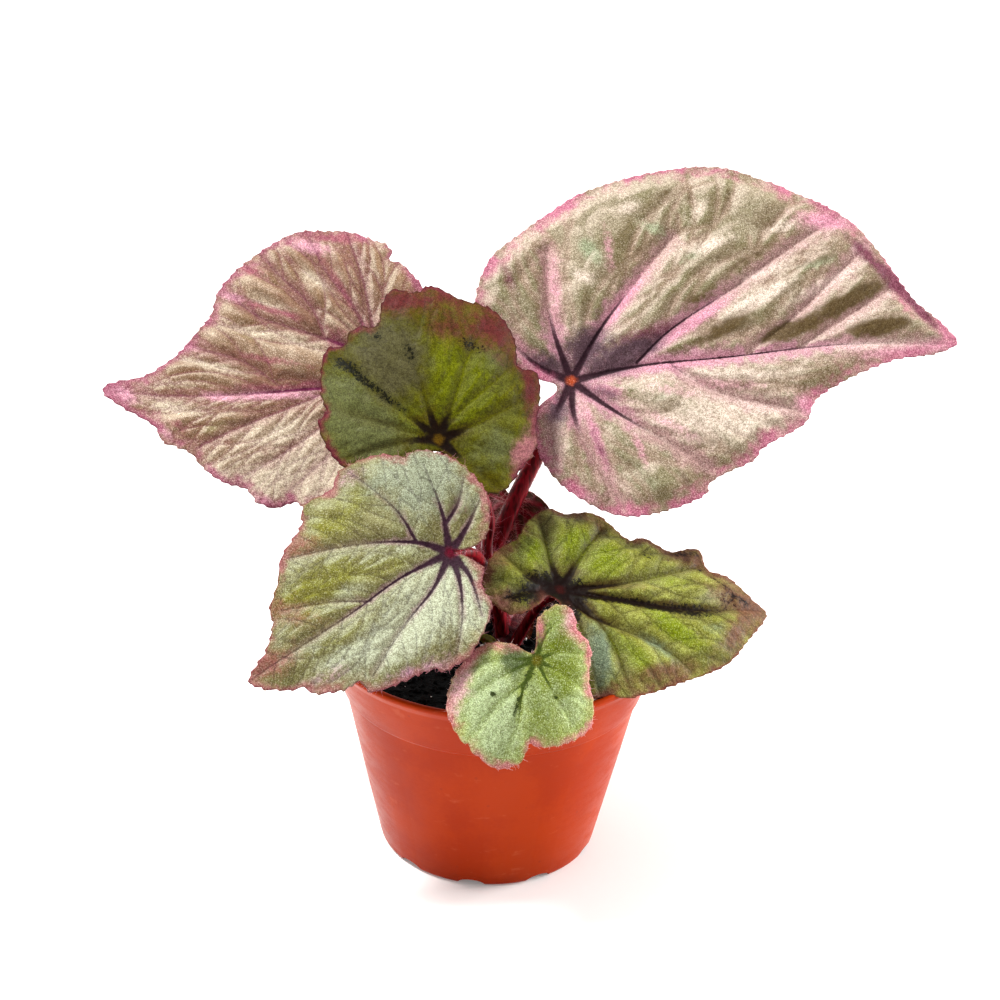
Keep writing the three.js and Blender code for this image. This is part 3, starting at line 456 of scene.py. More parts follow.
# ---- lines and meshes ----
def smooth_line(points, step, closed=False):
    """Points about `step` apart on the centripetal Catmull-Rom curve through the given ones."""
    points = np.array(points, float)
    count = len(points)
    if not closed:
        points = np.vstack([2 * points[0] - points[1], points, 2 * points[-1] - points[-2]])
    made = []
    for index in range(count if closed else count - 1):
        first = index - 1 if closed else index
        p0, p1, p2, p3 = (points[(first + k) % len(points)] for k in range(4))
        t01, t12, t23 = (max(np.linalg.norm(b - a), 1e-9) ** 0.5 for a, b in ((p0, p1), (p1, p2), (p2, p3)))
        m1 = (p2 - p1) + t12 * ((p1 - p0) / t01 - (p2 - p0) / (t01 + t12))
        m2 = (p2 - p1) + t12 * ((p3 - p2) / t23 - (p3 - p1) / (t12 + t23))
        steps = max(1, round(np.linalg.norm(p2 - p1) / step))
        t = (np.arange(steps) / steps)[:, None]
        made.append((2 * (p1 - p2) + m1 + m2) * t**3 + (3 * (p2 - p1) - 2 * m1 - m2) * t**2 + m1 * t + p1)
    if not closed:
        made.append(points[-2:-1])
    return np.vstack(made)


def circle(count):
    """That many angles, evenly round a circle."""
    return np.arange(count) / count * 2 * math.pi


def toward(angle):
    return np.array([math.cos(angle), math.sin(angle)])


def unit(vectors):
    return vectors / np.maximum(np.linalg.norm(vectors, axis=-1, keepdims=True), 1e-9)


def smoothstep(low, high, x):
    t = np.clip((x - low) / (high - low), 0, 1)
    return t * t * (3 - 2 * t)


def tree_of(points):
    tree = KDTree(len(points))
    for index, (x, y) in enumerate(points):
        tree.insert((x, y, 0), index)
    tree.balance()
    return tree


def nearest_on(lines, points, sample_step=0.08):
    """(distance, how far along its line in mm, which line) of the nearest place on any of the polylines."""
    samples, places, owners = [], [], []
    for number, line in enumerate(lines):
        along = np.concatenate([[0], np.cumsum(np.hypot(*np.diff(line, axis=0).T))])
        at = np.linspace(0, along[-1], max(2, int(along[-1] / sample_step)))
        samples.append(np.column_stack([np.interp(at, along, line[:, 0]), np.interp(at, along, line[:, 1])]))
        places.append(at)
        owners.append(np.full(len(at), number))
    tree = tree_of(np.vstack(samples))
    found = [tree.find((x, y, 0)) for x, y in points]
    chosen = [f[1] for f in found]
    return np.array([f[2] for f in found]), np.concatenate(places)[chosen], np.concatenate(owners)[chosen]


def is_inside(outline, points, batch=4000):
    ax, ay = outline.T
    bx, by = np.roll(outline, -1, axis=0).T
    slope = (bx - ax) / np.where(by == ay, 1e-12, by - ay)
    inside = []
    for low in range(0, len(points), batch):
        x, y = points[low : low + batch, 0, None], points[low : low + batch, 1, None]
        crosses = (ay > y) != (by > y)
        inside.append((crosses & (x < ax + (y - ay) * slope)).sum(1) % 2 == 1)
    return np.concatenate(inside)


def cell_bumps(u, v, size, rng):
    """Rounded cushions, one round each point of a jittered grid `size` mm apart, from 0 to 1 high."""
    columns, rows = np.floor(u / size).astype(int), np.floor(v / size).astype(int)
    shift = rng.random((64, 64, 2))
    nearest = np.full(len(u), 9.0)
    for dx in (-1, 0, 1):
        for dy in (-1, 0, 1):
            jitter = shift[(columns + dx) % 64, (rows + dy) % 64]
            gap = np.hypot(columns + dx + jitter[:, 0] - u / size, rows + dy + jitter[:, 1] - v / size)
            nearest = np.minimum(nearest, gap)
    return 1 - np.minimum(nearest, 1) ** 2


def mesh_of(name, vertices, faces, materials=()):
    """A mesh from millimetre vertices."""
    mesh = bpy.data.meshes.new(name)
    mesh.from_pydata((np.asarray(vertices, float) * MM).tolist(), [], faces)
    for material in materials:
        mesh.materials.append(material)
    return mesh


def placed(name, data):
    made = bpy.data.objects.new(name, data)
    bpy.context.scene.collection.objects.link(made)
    return made


def piece(name, form, materials, nodes=(), kinds=None):
    """A smooth piece of the plant or the pot, from its (vertices, faces), riding on the one body."""
    mesh = mesh_of(name, *form, materials)
    if kinds is not None:
        mesh.polygons.foreach_set("material_index", kinds)
    mesh.polygons.foreach_set("use_smooth", [True] * len(mesh.polygons))
    made = placed(name, mesh)
    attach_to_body(made, "root")
    if nodes:
        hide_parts(*nodes)
    return made


# ---- the blade's form ----
def blade_axes(leaf):
    """The blade's own directions: along its midrib, to its left, and up out of it."""
    turn, climb, roll = (math.radians(leaf[k]) for k in ("heading", "pitch", "bank"))
    along = np.array([math.cos(climb) * math.cos(turn), math.cos(climb) * math.sin(turn), math.sin(climb)])
    level = np.array([-math.sin(turn), math.cos(turn), 0])
    up = np.cross(along, level) * math.cos(roll) + level * math.sin(roll)
    return along, np.cross(up, along), up


def blade_height(leaf, u, v):
    """The smooth blade's height over its own plane: a dip at the petiole, drooping tip and sides, a keel."""
    depth, radius = leaf["funnel"]
    dip = depth * (1 - np.exp(-(u * u + v * v) / radius**2))
    length = leaf["length"]
    forward, aside = np.maximum(u, 0) / length, v / (0.5 * length)
    droop = length * (leaf["tip_droop"] * forward**2 + leaf["side_droop"] * aside**2)
    keel = leaf["keel"] * (np.hypot(v, 4) - 4) * np.clip((u + 4) / 10, 0, 1)
    return dip - droop + keel


def on_blade(leaf, flat, lift=0.0):
    along, left, up = blade_axes(leaf)
    u, v = flat.T
    height = (blade_height(leaf, u, v) + lift)[:, None]
    return np.array(leaf["attach"]) + u[:, None] * along + v[:, None] * left + height * up


def toothed(outline, depth, rng):
    """The margin with small forward-pointing teeth, none of them near the notch."""
    spacing, spread, notch, peak, overhang = (2.1, 4.4), (0.35, 1.15), (4, 12), 0.78, 0.45
    following = np.roll(outline, -1, axis=0)
    steps = np.hypot(*(following - outline).T)
    place = np.concatenate([[0], np.cumsum(steps)[:-1]])
    total = steps.sum()
    tangent = unit(following - np.roll(outline, 1, axis=0))
    area = (outline[:, 0] * following[:, 1] - following[:, 0] * outline[:, 1]).sum()
    outward = np.stack([tangent[:, 1], -tangent[:, 0]], 1) * np.sign(area)
    cuts = [0.0]
    while cuts[-1] < total:
        cuts.append(cuts[-1] + rng.uniform(*spacing))
    size = rng.uniform(*spread, len(cuts)) * depth
    tooth = np.searchsorted(cuts, place, side="right") - 1
    low, high = np.array(cuts)[tooth], np.array(cuts + [cuts[-1] + 3])[tooth + 1]
    phase = (place - low) / (high - low)
    before_tip = np.arange(len(outline)) < outline[:, 0].argmax()
    phase = np.where(before_tip, phase, 1 - phase)
    rise = np.where(phase < peak, (phase / peak) ** 1.4, (1 - phase) / (1 - peak))
    fade = smoothstep(*notch, np.minimum(place, total - place))
    offset = (rise - 0.35) * size[tooth] * fade
    forward = np.where(before_tip, 1, -1)[:, None] * tangent
    return outline + outward * offset[:, None] + forward * (overhang * np.maximum(offset, 0) * fade)[:, None]


def side_vein(start, heading, side, others, outline, rng):
    """Points of one side vein, which curves forward until it nears another main vein or the margin."""
    turn, most_points, least_gap = math.radians(-1.6), 60, 1.1
    track = [start]
    while len(track) < most_points:
        here = track[-1] + toward(heading) * LINE_STEP
        heading += side * turn * rng.uniform(0.3, 1.7)
        if len(others) and np.hypot(*(others - here).T).min() < least_gap and len(track) > 2:
            break
        if not is_inside(outline, here[None])[0]:
            break
        track.append(here)
    return track


def side_veins(primaries, outline, spacing, degrees, rng):
    """Side veins leaving each main vein on both sides, about `spacing` apart."""
    stagger, scatter, least_points = 0.22 * spacing, 0.8, 4
    everything = np.vstack(primaries)
    owner = np.concatenate([np.full(len(line), k) for k, line in enumerate(primaries)])
    made = []
    for k, line in enumerate(primaries):
        others = everything[owner != k]
        place = spacing * rng.uniform(0.6, 0.9)
        along = np.concatenate([[0], np.cumsum(np.hypot(*np.diff(line, axis=0).T))])
        while place < along[-1] - 2:
            for side in (1, -1):
                at = np.clip(place + side * stagger + rng.uniform(-scatter, scatter), 1, along[-1] - 1)
                index = np.searchsorted(along, at) - 1
                heading = math.atan2(*(line[index + 1] - line[index])[::-1])
                heading += side * math.radians(degrees) * rng.uniform(0.85, 1.15)
                track = side_vein(line[index], heading, side, others, outline, rng)
                if len(track) > least_points:
                    made.append(np.array(track))
            place += spacing * rng.uniform(0.85, 1.15)
    return made


def thinned(points, kept, gap):
    """The points that lie more than `gap` from every kept one."""
    tree = tree_of(kept)
    return points[[tree.find((x, y, 0))[2] > gap for x, y in points]]


def one_a_cell(points, size):
    """The first point in each cell of a square grid."""
    order, taken = [], set()
    for index, (x, y) in enumerate(points):
        cell = (round(x / size), round(y / size))
        if cell not in taken:
            taken.add(cell)
            order.append(index)
    return points[order]


def blade_triangles(outline, veins):
    """Flat triangles over the blade, with vertices on the margin and along each vein: (u, v), triangles."""
    low, high = outline.min(0), outline.max(0)
    rows = np.arange(low[1], high[1], GRID_STEP * 3**0.5 / 2)
    grid = np.array([
        (x + (GRID_STEP / 2 if k % 2 else 0), y)
        for k, y in enumerate(rows)
        for x in np.arange(low[0], high[0], GRID_STEP)
    ])
    grid = grid[is_inside(outline, grid)]
    lines = np.vstack([smooth_line(vein, VEIN_STEP) for vein in veins])
    lines = one_a_cell(thinned(lines[is_inside(outline, lines)], outline, 0.35), VERTEX_GAP)
    grid = thinned(grid, np.vstack([outline, lines]), VERTEX_GAP)
    points = np.vstack([outline, lines, grid])
    ring = [(k, (k + 1) % len(outline)) for k in range(len(outline))]
    made = delaunay_2d_cdt([Vector(p) for p in points], ring, [], 1, 1e-5)
    flat = np.array([(p.x, p.y) for p in made[0]])
    return flat, [tuple(face) for face in made[2] if len(face) == 3]


def rim_loop(triangles):
    """The one closed loop of edges that only one triangle uses, in order."""
    after = {}
    seen = {(a, b) for t in triangles for a, b in zip(t, t[1:] + t[:1])}
    for a, b in seen:
        if (b, a) not in seen:
            after[a] = b
    loop = [next(iter(after))]
    while after[loop[-1]] != loop[0]:
        loop.append(after[loop[-1]])
    if len(loop) != len(after):
        raise RuntimeError(f"a blade's margin has {len(after)} edges and its loop {len(loop)}")
    return loop


def tint_weight(zones, flat):
    """How much of one tint each vertex takes from its soft zones, from 0 to 1."""
    left_over = np.ones(len(flat))
    for u, v, half_length, half_width, degrees, strength in zones:
        turn = math.radians(degrees)
        du, dv = flat[:, 0] - u, flat[:, 1] - v
        along = (du * math.cos(turn) + dv * math.sin(turn)) / half_length
        across = (dv * math.cos(turn) - du * math.sin(turn)) / half_width
        left_over *= 1 - strength * np.exp(-0.9 * (along**2 + across**2))
    return 1 - left_over


def lean(points, triangles):
    """How far each vertex of a sheet faces the upper left, where the painted light comes from, from -1 to 1.
    """
    corners = points[np.array(triangles)]
    facing = np.cross(corners[:, 1] - corners[:, 0], corners[:, 2] - corners[:, 0])
    normals = np.zeros_like(points)
    for corner in range(3):
        np.add.at(normals, np.array(triangles)[:, corner], facing)
    return unit(normals) @ PAINTED_LIGHT_DIRECTION


def vein_depth(look):
    """How far the main veins lie below the smooth blade."""
    deep, *_, swell = look["quilt"]
    return 0.8 * deep + 0.4 * swell


def blade_relief(leaf, look, flat, triangles, near, edge_place, rng):
    """Each vertex's height over the smooth blade, its rise out of the furrows, and how much more its cushion
    faces the painted light than the smooth blade does, which places the painted highlight and shade.
    """
    u, v = flat.T
    vein, side, edge, reach = near["vein"], near["side"], near["edge"], near["reach"]
    deep, deep_width, shallow, shallow_width, cushion, swell_size, swell = look["quilt"]
    settle = smoothstep(0, 7, edge) * 0.75 + 0.25  # flatter along the margin
    apart = (1 - np.exp(-vein / 2.5)) * smoothstep(2, 14, reach)  # none on main veins or at the petiole
    panel = (1 - np.exp(-((side / shallow_width) ** 1.4))) * apart
    swelling = cell_bumps(u, v, swell_size, rng) * apart
    pucker = cell_bumps(u, v, 2.3, rng) * smoothstep(0.3, 2, side) * smoothstep(0.3, 2, vein)
    furrow = np.exp(-vein / deep_width) * (1 - 0.6 * smoothstep(0.25, 0.85, reach / leaf["length"]))
    quilt = deep * (1 - furrow) * smoothstep(0, 10, reach)
    calm = 1 - look.get("calm", 0) * tint_weight(look["zones"].get("pale", ()), flat)
    quilt = (quilt + shallow * panel + swell * swelling) * settle * calm
    rise = 0.55 * panel + 0.3 * swelling + 0.15 * pucker
    ripple = 0.5 * np.sin(edge_place / 3.1 + 2 * np.sin(edge_place / 11))
    ripple += 0.5 * np.sin(edge_place / 6.3 + 1)
    quilt += 0.8 * ripple * np.exp(-edge / 3.5) * smoothstep(4, 14, reach)
    quilt -= vein_depth(look)
    # how far the panels turn each vertex toward the painted light from the upper left, for painted highlight
    # and painted shade
    slope = lean(on_blade(leaf, flat, quilt), triangles) - lean(on_blade(leaf, flat), triangles)
    return quilt + cushion * pucker * calm, rise, slope


def blade_shell(leaf, flat, triangles, quilt, near):
    """The closed shell, ribbed below its veins: (vertices, faces) and each face's material number."""
    vein, side, edge, reach = near["vein"], near["side"], near["edge"], near["reach"]
    taper = np.clip(1.2 - reach / leaf["length"], 0.25, 1)
    rib = 0.9 * taper * np.exp(-((vein / 0.75) ** 2)) + 0.3 * np.exp(-((side / 0.45) ** 2))
    thickness = 0.22 + 0.25 * smoothstep(0, 2, edge)
    top = on_blade(leaf, flat, quilt)
    bottom = on_blade(leaf, flat, quilt - thickness - rib * smoothstep(0, 2, edge))
    loop = rim_loop(triangles)
    count = len(flat)
    faces = list(triangles) + [(a + count, c + count, b + count) for a, b, c in triangles]
    faces += [(b, a, a + count, b + count) for a, b in zip(loop, loop[1:] + loop[:1])]
    kinds = [0] * len(triangles) + [1] * len(triangles) + [0] * len(loop)
    return (np.vstack([top, bottom]), faces), kinds


def blade(name, leaf, look, materials):
    """One leaf blade: a thin closed shell with quilted panels above and ribs below."""
    rng = np.random.default_rng(SEED + sorted(LEAVES).index(name))
    outline = smooth_line(leaf["outline"], MARGIN_STEP, closed=True)
    margin = toothed(outline, look["teeth"], rng)
    primaries = [smooth_line(vein, LINE_STEP) for vein in leaf["veins"]]
    sides = side_veins(primaries, outline, look["spacing"], look.get("side_angle", 52), rng)
    flat, triangles = blade_triangles(margin, primaries + sides)
    vein, _, owner = nearest_on(primaries, flat)
    side, _, _ = nearest_on(sides, flat)
    edge, edge_place, _ = nearest_on([np.vstack([outline, outline[:1]])], flat)
    near = {"vein": vein, "side": side, "edge": edge, "reach": np.hypot(*flat.T)}
    quilt, rise, slope = blade_relief(leaf, look, flat, triangles, near, edge_place, rng)
    form, kinds = blade_shell(leaf, flat, triangles, quilt, near)
    made = piece("blade_" + name, form, materials, ["leaf_" + name], kinds)
    made["upper_faces"] = len(triangles)
    end = np.array(look["ends"])[owner]
    ink = 1 - smoothstep(0.35 * end, end, near["reach"])
    # slope carries each cushion's facing toward the painted light, which the material turns into painted
    # highlight and shade
    for key, values in {**near, "rise": rise, "slope": slope, "ink": ink}.items():
        store(made, key, values)
    weights = np.stack([tint_weight(look["zones"].get(tint, ()), flat) for tint in TINTS], 1)
    store(made, "tints_a", weights[:, :3])
    store(made, "tints_b", weights[:, 3:])
    flat_map(made, flat, outward=0.35)
    return made


def store(made, name, values):
    """Values for both sides' vertices, one or three each, which the materials read by name."""
    kind, field = ("FLOAT_VECTOR", "vector") if values.ndim == 2 else ("FLOAT", "value")
    both = np.concatenate([values, values]).astype(np.float32)
    made.data.attributes.new(name, kind, "POINT").data.foreach_set(field, both.ravel())


def flat_map(made, flat, outward):
    """A UV map of the flat blade, its upper side below and its underside above, at one scale."""
    low, size = flat.min(0) - 1, np.ptp(flat, axis=0) + 2
    scale = 1 / max(size[0], 2 * size[1])
    place = (flat - low) * scale
    both = np.vstack([place, place + [0, size[1] * scale]])
    corners = np.empty(len(made.data.loops), int)
    made.data.loops.foreach_get("vertex_index", corners)
    coordinates = both[corners]
    for start in [p.loop_start for p in made.data.polygons if p.loop_total == 4]:
        a, b = corners[start + 1], corners[start]
        run = both[b] - both[a]
        away = np.array([run[1], -run[0]]) / max(np.hypot(*run), 1e-9) * outward * scale
        coordinates[start : start + 4] = both[b], both[a], both[a] + away, both[b] + away
    made.data.uv_layers.new(name="OFBake").data.foreach_set("uv", coordinates.astype(np.float32).ravel())


# ---- materials ----
def colour_of(code):
    """Linear red, green, blue and alpha of a #rrggbb code."""
    parts = [int(code[k : k + 2], 16) / 255 for k in (1, 3, 5)]
    return [c / 12.92 if c <= 0.04045 else ((c + 0.055) / 1.055) ** 2.4 for c in parts] + [1.0]


class NodeTree:
    """The nodes of a material or a world, added and linked by small calls."""

    def __init__(self, owner):
        owner.use_nodes = True
        self.nodes, self.links = owner.node_tree.nodes, owner.node_tree.links
        self.nodes.clear()

    def give(self, socket, value):
        if isinstance(value, bpy.types.NodeSocket):
            self.links.new(value, socket)
        elif isinstance(value, str):
            socket.default_value = colour_of(value)
        else:
            socket.default_value = value

    def add(self, kind, inputs, **settings):
        made = self.nodes.new("ShaderNode" + kind)
        for key, value in settings.items():
            setattr(made, key, value)
        for socket, value in inputs.items():
            self.give(made.inputs[socket], value)
        return made

    def node(self, kind, inputs, output=0, **settings):
        return self.add(kind, inputs, **settings).outputs[output]

    def math(self, operation, *values):
        return self.node("Math", dict(enumerate(values)), operation=operation)

    def fade(self, value, start, end, low=0.0, high=1.0):
        """Goes smoothly from low to high as value goes from start to end, which may be the smaller."""
        inputs = {0: value, 1: start, 2: end, 3: low, 4: high}
        return self.node("MapRange", inputs, interpolation_type="SMOOTHSTEP")


class Surface(NodeTree):
    """A material. Texture sizes are in mm."""

    def __init__(self, name, specular):
        self.material = bpy.data.materials.new(name)
        super().__init__(self.material)
        self.shader = self.add("BsdfPrincipled", {"Specular IOR Level": specular})
        self.add("OutputMaterial", {"Surface": self.shader.outputs[0]})
        self.place = self.node("TexCoord", {}, "Object")

    def mix(self, factor, a, b, blend="MIX"):
        return self.node("Mix", {0: factor, 6: a, 7: b}, 2, data_type="RGBA", blend_type=blend)

    def spot(self, stretch, shift=0.0):
        return self.node("Mapping", {"Vector": self.place, "Scale": stretch, "Location": (shift, shift, 0)})

    def noise(self, size, detail=2.0, stretch=(1, 1, 1), shift=0.0):
        inputs = {"Vector": self.spot(stretch, shift), "Scale": 1000 / size, "Detail": detail}
        return self.node("TexNoise", inputs)

    def cells(self, size, feature="F1", stretch=(1, 1, 1)):
        return self.node("TexVoronoi", {"Vector": self.spot(stretch), "Scale": 1000 / size}, feature=feature)

    def read(self, name):
        return self.node("Attribute", {}, 2, attribute_name=name)

    def read_three(self, name):
        vector = self.node("Attribute", {}, 1, attribute_name=name)
        return [self.node("SeparateXYZ", {0: vector}, k) for k in range(3)]

    def wobble(self, value, *swings):
        """value plus the swing of each (texture, amount) about its middle, up to amount either way."""
        for texture, amount in swings:
            value = self.math("ADD", value, self.math("MULTIPLY_ADD", texture, 2 * amount, -amount))
        return value

    def bump(self, height, depth, strength, under=None):
        inputs = {"Height": height, "Distance": depth * MM, "Strength": strength}
        if under is not None:
            inputs["Normal"] = under
        return self.node("Bump", inputs)

    def finish(self, colour, roughness, normal=None):
        """Joins the three to the shader, and gives the material."""
        self.give(self.shader.inputs["Base Color"], colour)
        self.give(self.shader.inputs["Roughness"], roughness)
        if normal is not None:
            self.give(self.shader.inputs["Normal"], normal)
        return self.material


class BladeSkin(Surface):
    """A blade's upper side, painted in layers by what is stored on its vertices."""

    def __init__(self, name, look):
        super().__init__("blade_" + name, 0.06)
        self.look = look
        self.vein, self.side, self.edge, self.reach, self.ink = (
            self.read(k) for k in ("vein", "side", "edge", "reach", "ink")
        )
        self.weights = dict(zip(TINTS, self.read_three("tints_a") + self.read_three("tints_b")))
        sizes = (11, 2), (3, 3), (0.9, 2), (0.3, 1)
        self.broad, self.middle, self.fine, self.dust = (self.noise(size, detail) for size, detail in sizes)

    def paint(self, layer, *shares):
        """Covers the colour so far with one of the look's, as much as the product of the shares."""
        share = shares[0]
        for other in shares[1:]:
            share = self.math("MULTIPLY", share, other)
        self.colour = self.mix(share, self.colour, self.look[layer])

    def ground(self):
        """Mottled panels, with a stripe along each side furrow."""
        mottle = self.fade(self.wobble(self.broad, (self.middle, 0.12)), 0.42, 0.6)
        self.colour = self.mix(mottle, self.look["panel"], self.look["mottle"])
        rise = self.wobble(self.read("rise"), (self.middle, 0.12), (self.fine, 0.06))
        self.paint("stripe", self.fade(rise, 0.48, 0.14, 0, self.look["furrow"]))

    def tint(self, name):
        weight = self.wobble(self.weights[name], (self.middle, 0.3), (self.fine, 0.18))
        self.paint(name, self.fade(weight, 0.1, 0.75, 0, 0.95))

    def slopes(self):
        """Painted shade where a cushion faces away from the upper left, and a painted highlight in the pale
        colour where it faces it.
        """
        slope = self.wobble(self.read("slope"), (self.middle, 0.04), (self.fine, 0.03))
        self.paint("shade", self.fade(slope, -0.03, -0.24, 0, self.look["painted_shading"]))
        self.paint("pale", self.fade(slope, 0.02, 0.2, 0, self.look["painted_highlight"]))

    def glow(self):
        """A soft coloured band along each main vein."""
        width, strength = self.look["glow_width"], self.look["glow_strength"]
        band = self.fade(self.wobble(self.vein, (self.middle, 0.9 * width)), width, 0.3)
        ink = self.wobble(self.ink, (self.broad, 0.5))
        self.paint("glow", band, self.fade(ink, 0.0, 0.8, 0.35 * strength, strength))

    def blotches(self):
        """Dark marks, with much painted shade on the two large leaves, the more granular the finer their
        edges break up.
        """
        grain = 0.6 * self.look["granular"]
        swings = (self.dust, grain), (self.fine, grain), (self.middle, 0.3)
        weight = self.wobble(self.weights["dark"], *swings)
        hard = 0.25 - 0.3 * grain
        self.paint("dark", self.fade(weight, 0.5 - hard, 0.5 + hard, 0, 0.97))

    def veins(self):
        """Dark main veins that widen to a star at the petiole, thin side veins, and a net between them."""
        look = self.look
        star = self.math("EXPONENT", self.math("MULTIPLY", self.reach, -1 / look["star_reach"]))
        width = self.math("MULTIPLY_ADD", star, look["star"], look["line"])
        line = self.fade(self.math("DIVIDE", self.wobble(self.vein, (self.fine, 0.18)), width), 1.35, 0.5)
        self.paint("vein", line, self.fade(self.ink, 0.0, 1.0, look["line_low"], 0.95))
        thread = self.fade(self.wobble(self.side, (self.fine, 0.1)), 0.4, 0.08, 0, look["thread"])
        self.paint("vein", thread, self.fade(self.middle, 0.3, 0.55))
        if look["net"]:
            mesh = self.wobble(self.cells(3.6, "DISTANCE_TO_EDGE"), (self.fine, 0.03))
            self.paint("vein", self.fade(mesh, 0.07, 0.01, 0, look["net"]), self.fade(self.broad, 0.4, 0.6))

    def margin(self):
        """A patchy coloured band inside the margin, the rim itself, and the dot over the petiole."""
        width = self.look["margin_width"]
        swings = (self.broad, 0.9 * width), (self.middle, 0.7 * width), (self.fine, 0.8)
        band = self.wobble(self.edge, *swings)
        patches = self.fade(self.noise(7, 2, shift=0.3), 0.36, 0.58, 0.12, 0.92)
        calmer = self.fade(self.weights["red"], 0.2, 0.7, 1, 0.25)
        self.paint("margin", self.fade(band, width, 0.2), patches, calmer, self.fade(self.reach, 3, 8))
        self.paint("rim", self.fade(self.edge, 0.6, 0.1, 0, self.look["rim_strength"]))
        dot = self.wobble(self.reach, (self.middle, 0.9), (self.fine, 0.6))
        self.paint("attach", self.fade(dot, 2.1, 0.6))

    def grain(self):
        """Fine dark grain everywhere, and on the lighter parts pale specks: the pale hairs, with their
        painted glints.
        """
        shade = self.fade(self.wobble(self.dust, (self.fine, 0.2)), 0.3, 0.66)
        self.colour = self.mix(1.0, self.colour, self.mix(shade, "#b8b2ac", "#ffffff"), "MULTIPLY")
        lighter = self.fade(self.node("RGBToBW", {0: self.colour}), 0.02, 0.22)
        # pale specks for the hairs and their painted glints, only where the colour is already light
        self.paint("speck_and_glint", self.fade(self.dust, 0.55, 0.75, 0, 0.3), lighter)


def blade_skin(name, look):
    skin = BladeSkin(name, look)
    skin.ground()
    skin.tint("green")
    # pale is the leaf's own pale tone, and on the two large leaves much painted highlight too
    skin.tint("pale")
    skin.slopes()
    skin.glow()
    for tint in ("pink", "red", "grey"):
        skin.tint(tint)
    skin.blotches()
    skin.veins()
    skin.margin()
    skin.grain()
    puckers = skin.bump(skin.cells(1.5), 0.35, 0.5)
    roughness = skin.fade(skin.middle, 0.3, 0.7, 0.4, 0.56)
    return skin.finish(skin.colour, roughness, skin.bump(skin.dust, 0.16, 0.8, puckers))


def blade_underside():
    """The dull red and brown underside, with its crimson ribs."""
    skin = Surface("blade_underside", 0.15)
    vein, side = skin.read("vein"), skin.read("side")
    broad, middle, dust = skin.noise(9), skin.noise(2.5, 3), skin.noise(0.4, 1)
    colour = skin.mix(skin.fade(skin.wobble(broad, (middle, 0.2)), 0.4, 0.62), "#54201a", "#553820")
    colour = skin.mix(skin.fade(side, 0.9, 0.2, 0, 0.7), colour, "#7c2430")
    colour = skin.mix(skin.fade(vein, 1.1, 0.4), colour, "#8a1a28")
    colour = skin.mix(skin.fade(dust, 0.5, 0.75, 0, 0.2), colour, "#a8685e")
    return skin.finish(colour, skin.fade(middle, 0.3, 0.7, 0.5, 0.68), skin.bump(dust, 0.18, 0.7))


def petiole_skin():
    """Crimson, glossy and streaked along its length, with small pale lenticels."""
    skin = Surface("petiole_skin", 0.1)
    streak, fine = skin.noise(1.1, 2, (1, 1, 0.16)), skin.noise(0.5, 2)
    colour = skin.mix(skin.fade(streak, 0.36, 0.64), "#440308", "#7c0e1a")
    dots = skin.fade(skin.cells(2.6, stretch=(1, 1, 0.45)), 0.16, 0.08, 0, 0.2)
    normal = skin.bump(skin.wobble(streak, (fine, 0.3)), 0.22, 0.6)
    return skin.finish(skin.mix(dots, colour, "#b8505a"), skin.fade(fine, 0.3, 0.7, 0.3, 0.5), normal)


def crown_skin(name, dark, light, spot):
    """Rhizome, stipules and bud: a mottled skin of three near tones."""
    skin = Surface(name, 0.12)
    broad, fine = skin.noise(3.2, 3), skin.noise(0.5, 2, (1, 1, 0.4))
    colour = skin.mix(skin.fade(skin.wobble(broad, (fine, 0.2)), 0.36, 0.64), dark, light)
    colour = skin.mix(skin.fade(skin.cells(2.4), 0.3, 0.12, 0, 0.7), colour, spot)
    normal = skin.bump(skin.wobble(broad, (fine, 0.4)), 0.35, 0.7)
    return skin.finish(colour, skin.fade(fine, 0.3, 0.7, 0.42, 0.7), normal)


def hair_skin(name, code):
    """Fine pale hairs of one colour."""
    return Surface(name, 0.3).finish(code, 0.6)


def pot_plastic():
    """Terracotta-coloured polypropylene: satin, with fine speckle, dust and a few scuffs."""
    skin = Surface("pot_plastic", 0.06)
    broad, fine, dust = skin.noise(24, 3), skin.noise(1.2, 2), skin.noise(0.45, 1)
    colour = skin.mix(skin.fade(skin.wobble(broad, (fine, 0.1)), 0.4, 0.62), "#902600", "#9a2d00")
    scuffs = skin.noise(7, 4, (1, 1, 3.2), 0.4)
    colour = skin.mix(skin.fade(skin.wobble(scuffs, (fine, 0.1)), 0.62, 0.78, 0, 0.1), colour, "#dd8a6c")
    colour = skin.mix(skin.fade(skin.cells(6.5), 0.09, 0.04, 0, 0.55), colour, "#7c2410")
    roughness = skin.fade(skin.wobble(scuffs, (dust, 0.3)), 0.3, 0.75, 0.28, 0.42)
    rings = skin.wobble(skin.noise(0.5, 1, (0.05, 0.05, 1)), (dust, 0.25))
    return skin.finish(colour, roughness, skin.bump(rings, 0.03, 0.5, skin.bump(broad, 0.5, 0.25)))


def peat():
    """Near-black damp potting mix with brown fibre."""
    skin = Surface("peat", 0.08)
    middle, fine = skin.noise(2.2, 3), skin.noise(0.6, 2)
    colour = skin.mix(skin.fade(skin.wobble(middle, (fine, 0.2)), 0.42, 0.7), "#010101", "#080503")
    colour = skin.mix(skin.fade(fine, 0.68, 0.8, 0, 0.25), colour, "#2e2018")
    normal = skin.bump(skin.wobble(middle, (fine, 0.5)), 0.6, 0.8)
    return skin.finish(colour, skin.fade(fine, 0.3, 0.7, 0.7, 0.95), normal)


def perlite_grain():
    skin = Surface("perlite", 0.3)
    fine = skin.noise(0.5, 2)
    colour = skin.mix(skin.fade(fine, 0.4, 0.66), "#f2efe8", "#c9c2b6")
    return skin.finish(colour, skin.fade(fine, 0.3, 0.7, 0.6, 0.85), skin.bump(fine, 0.2, 0.8))


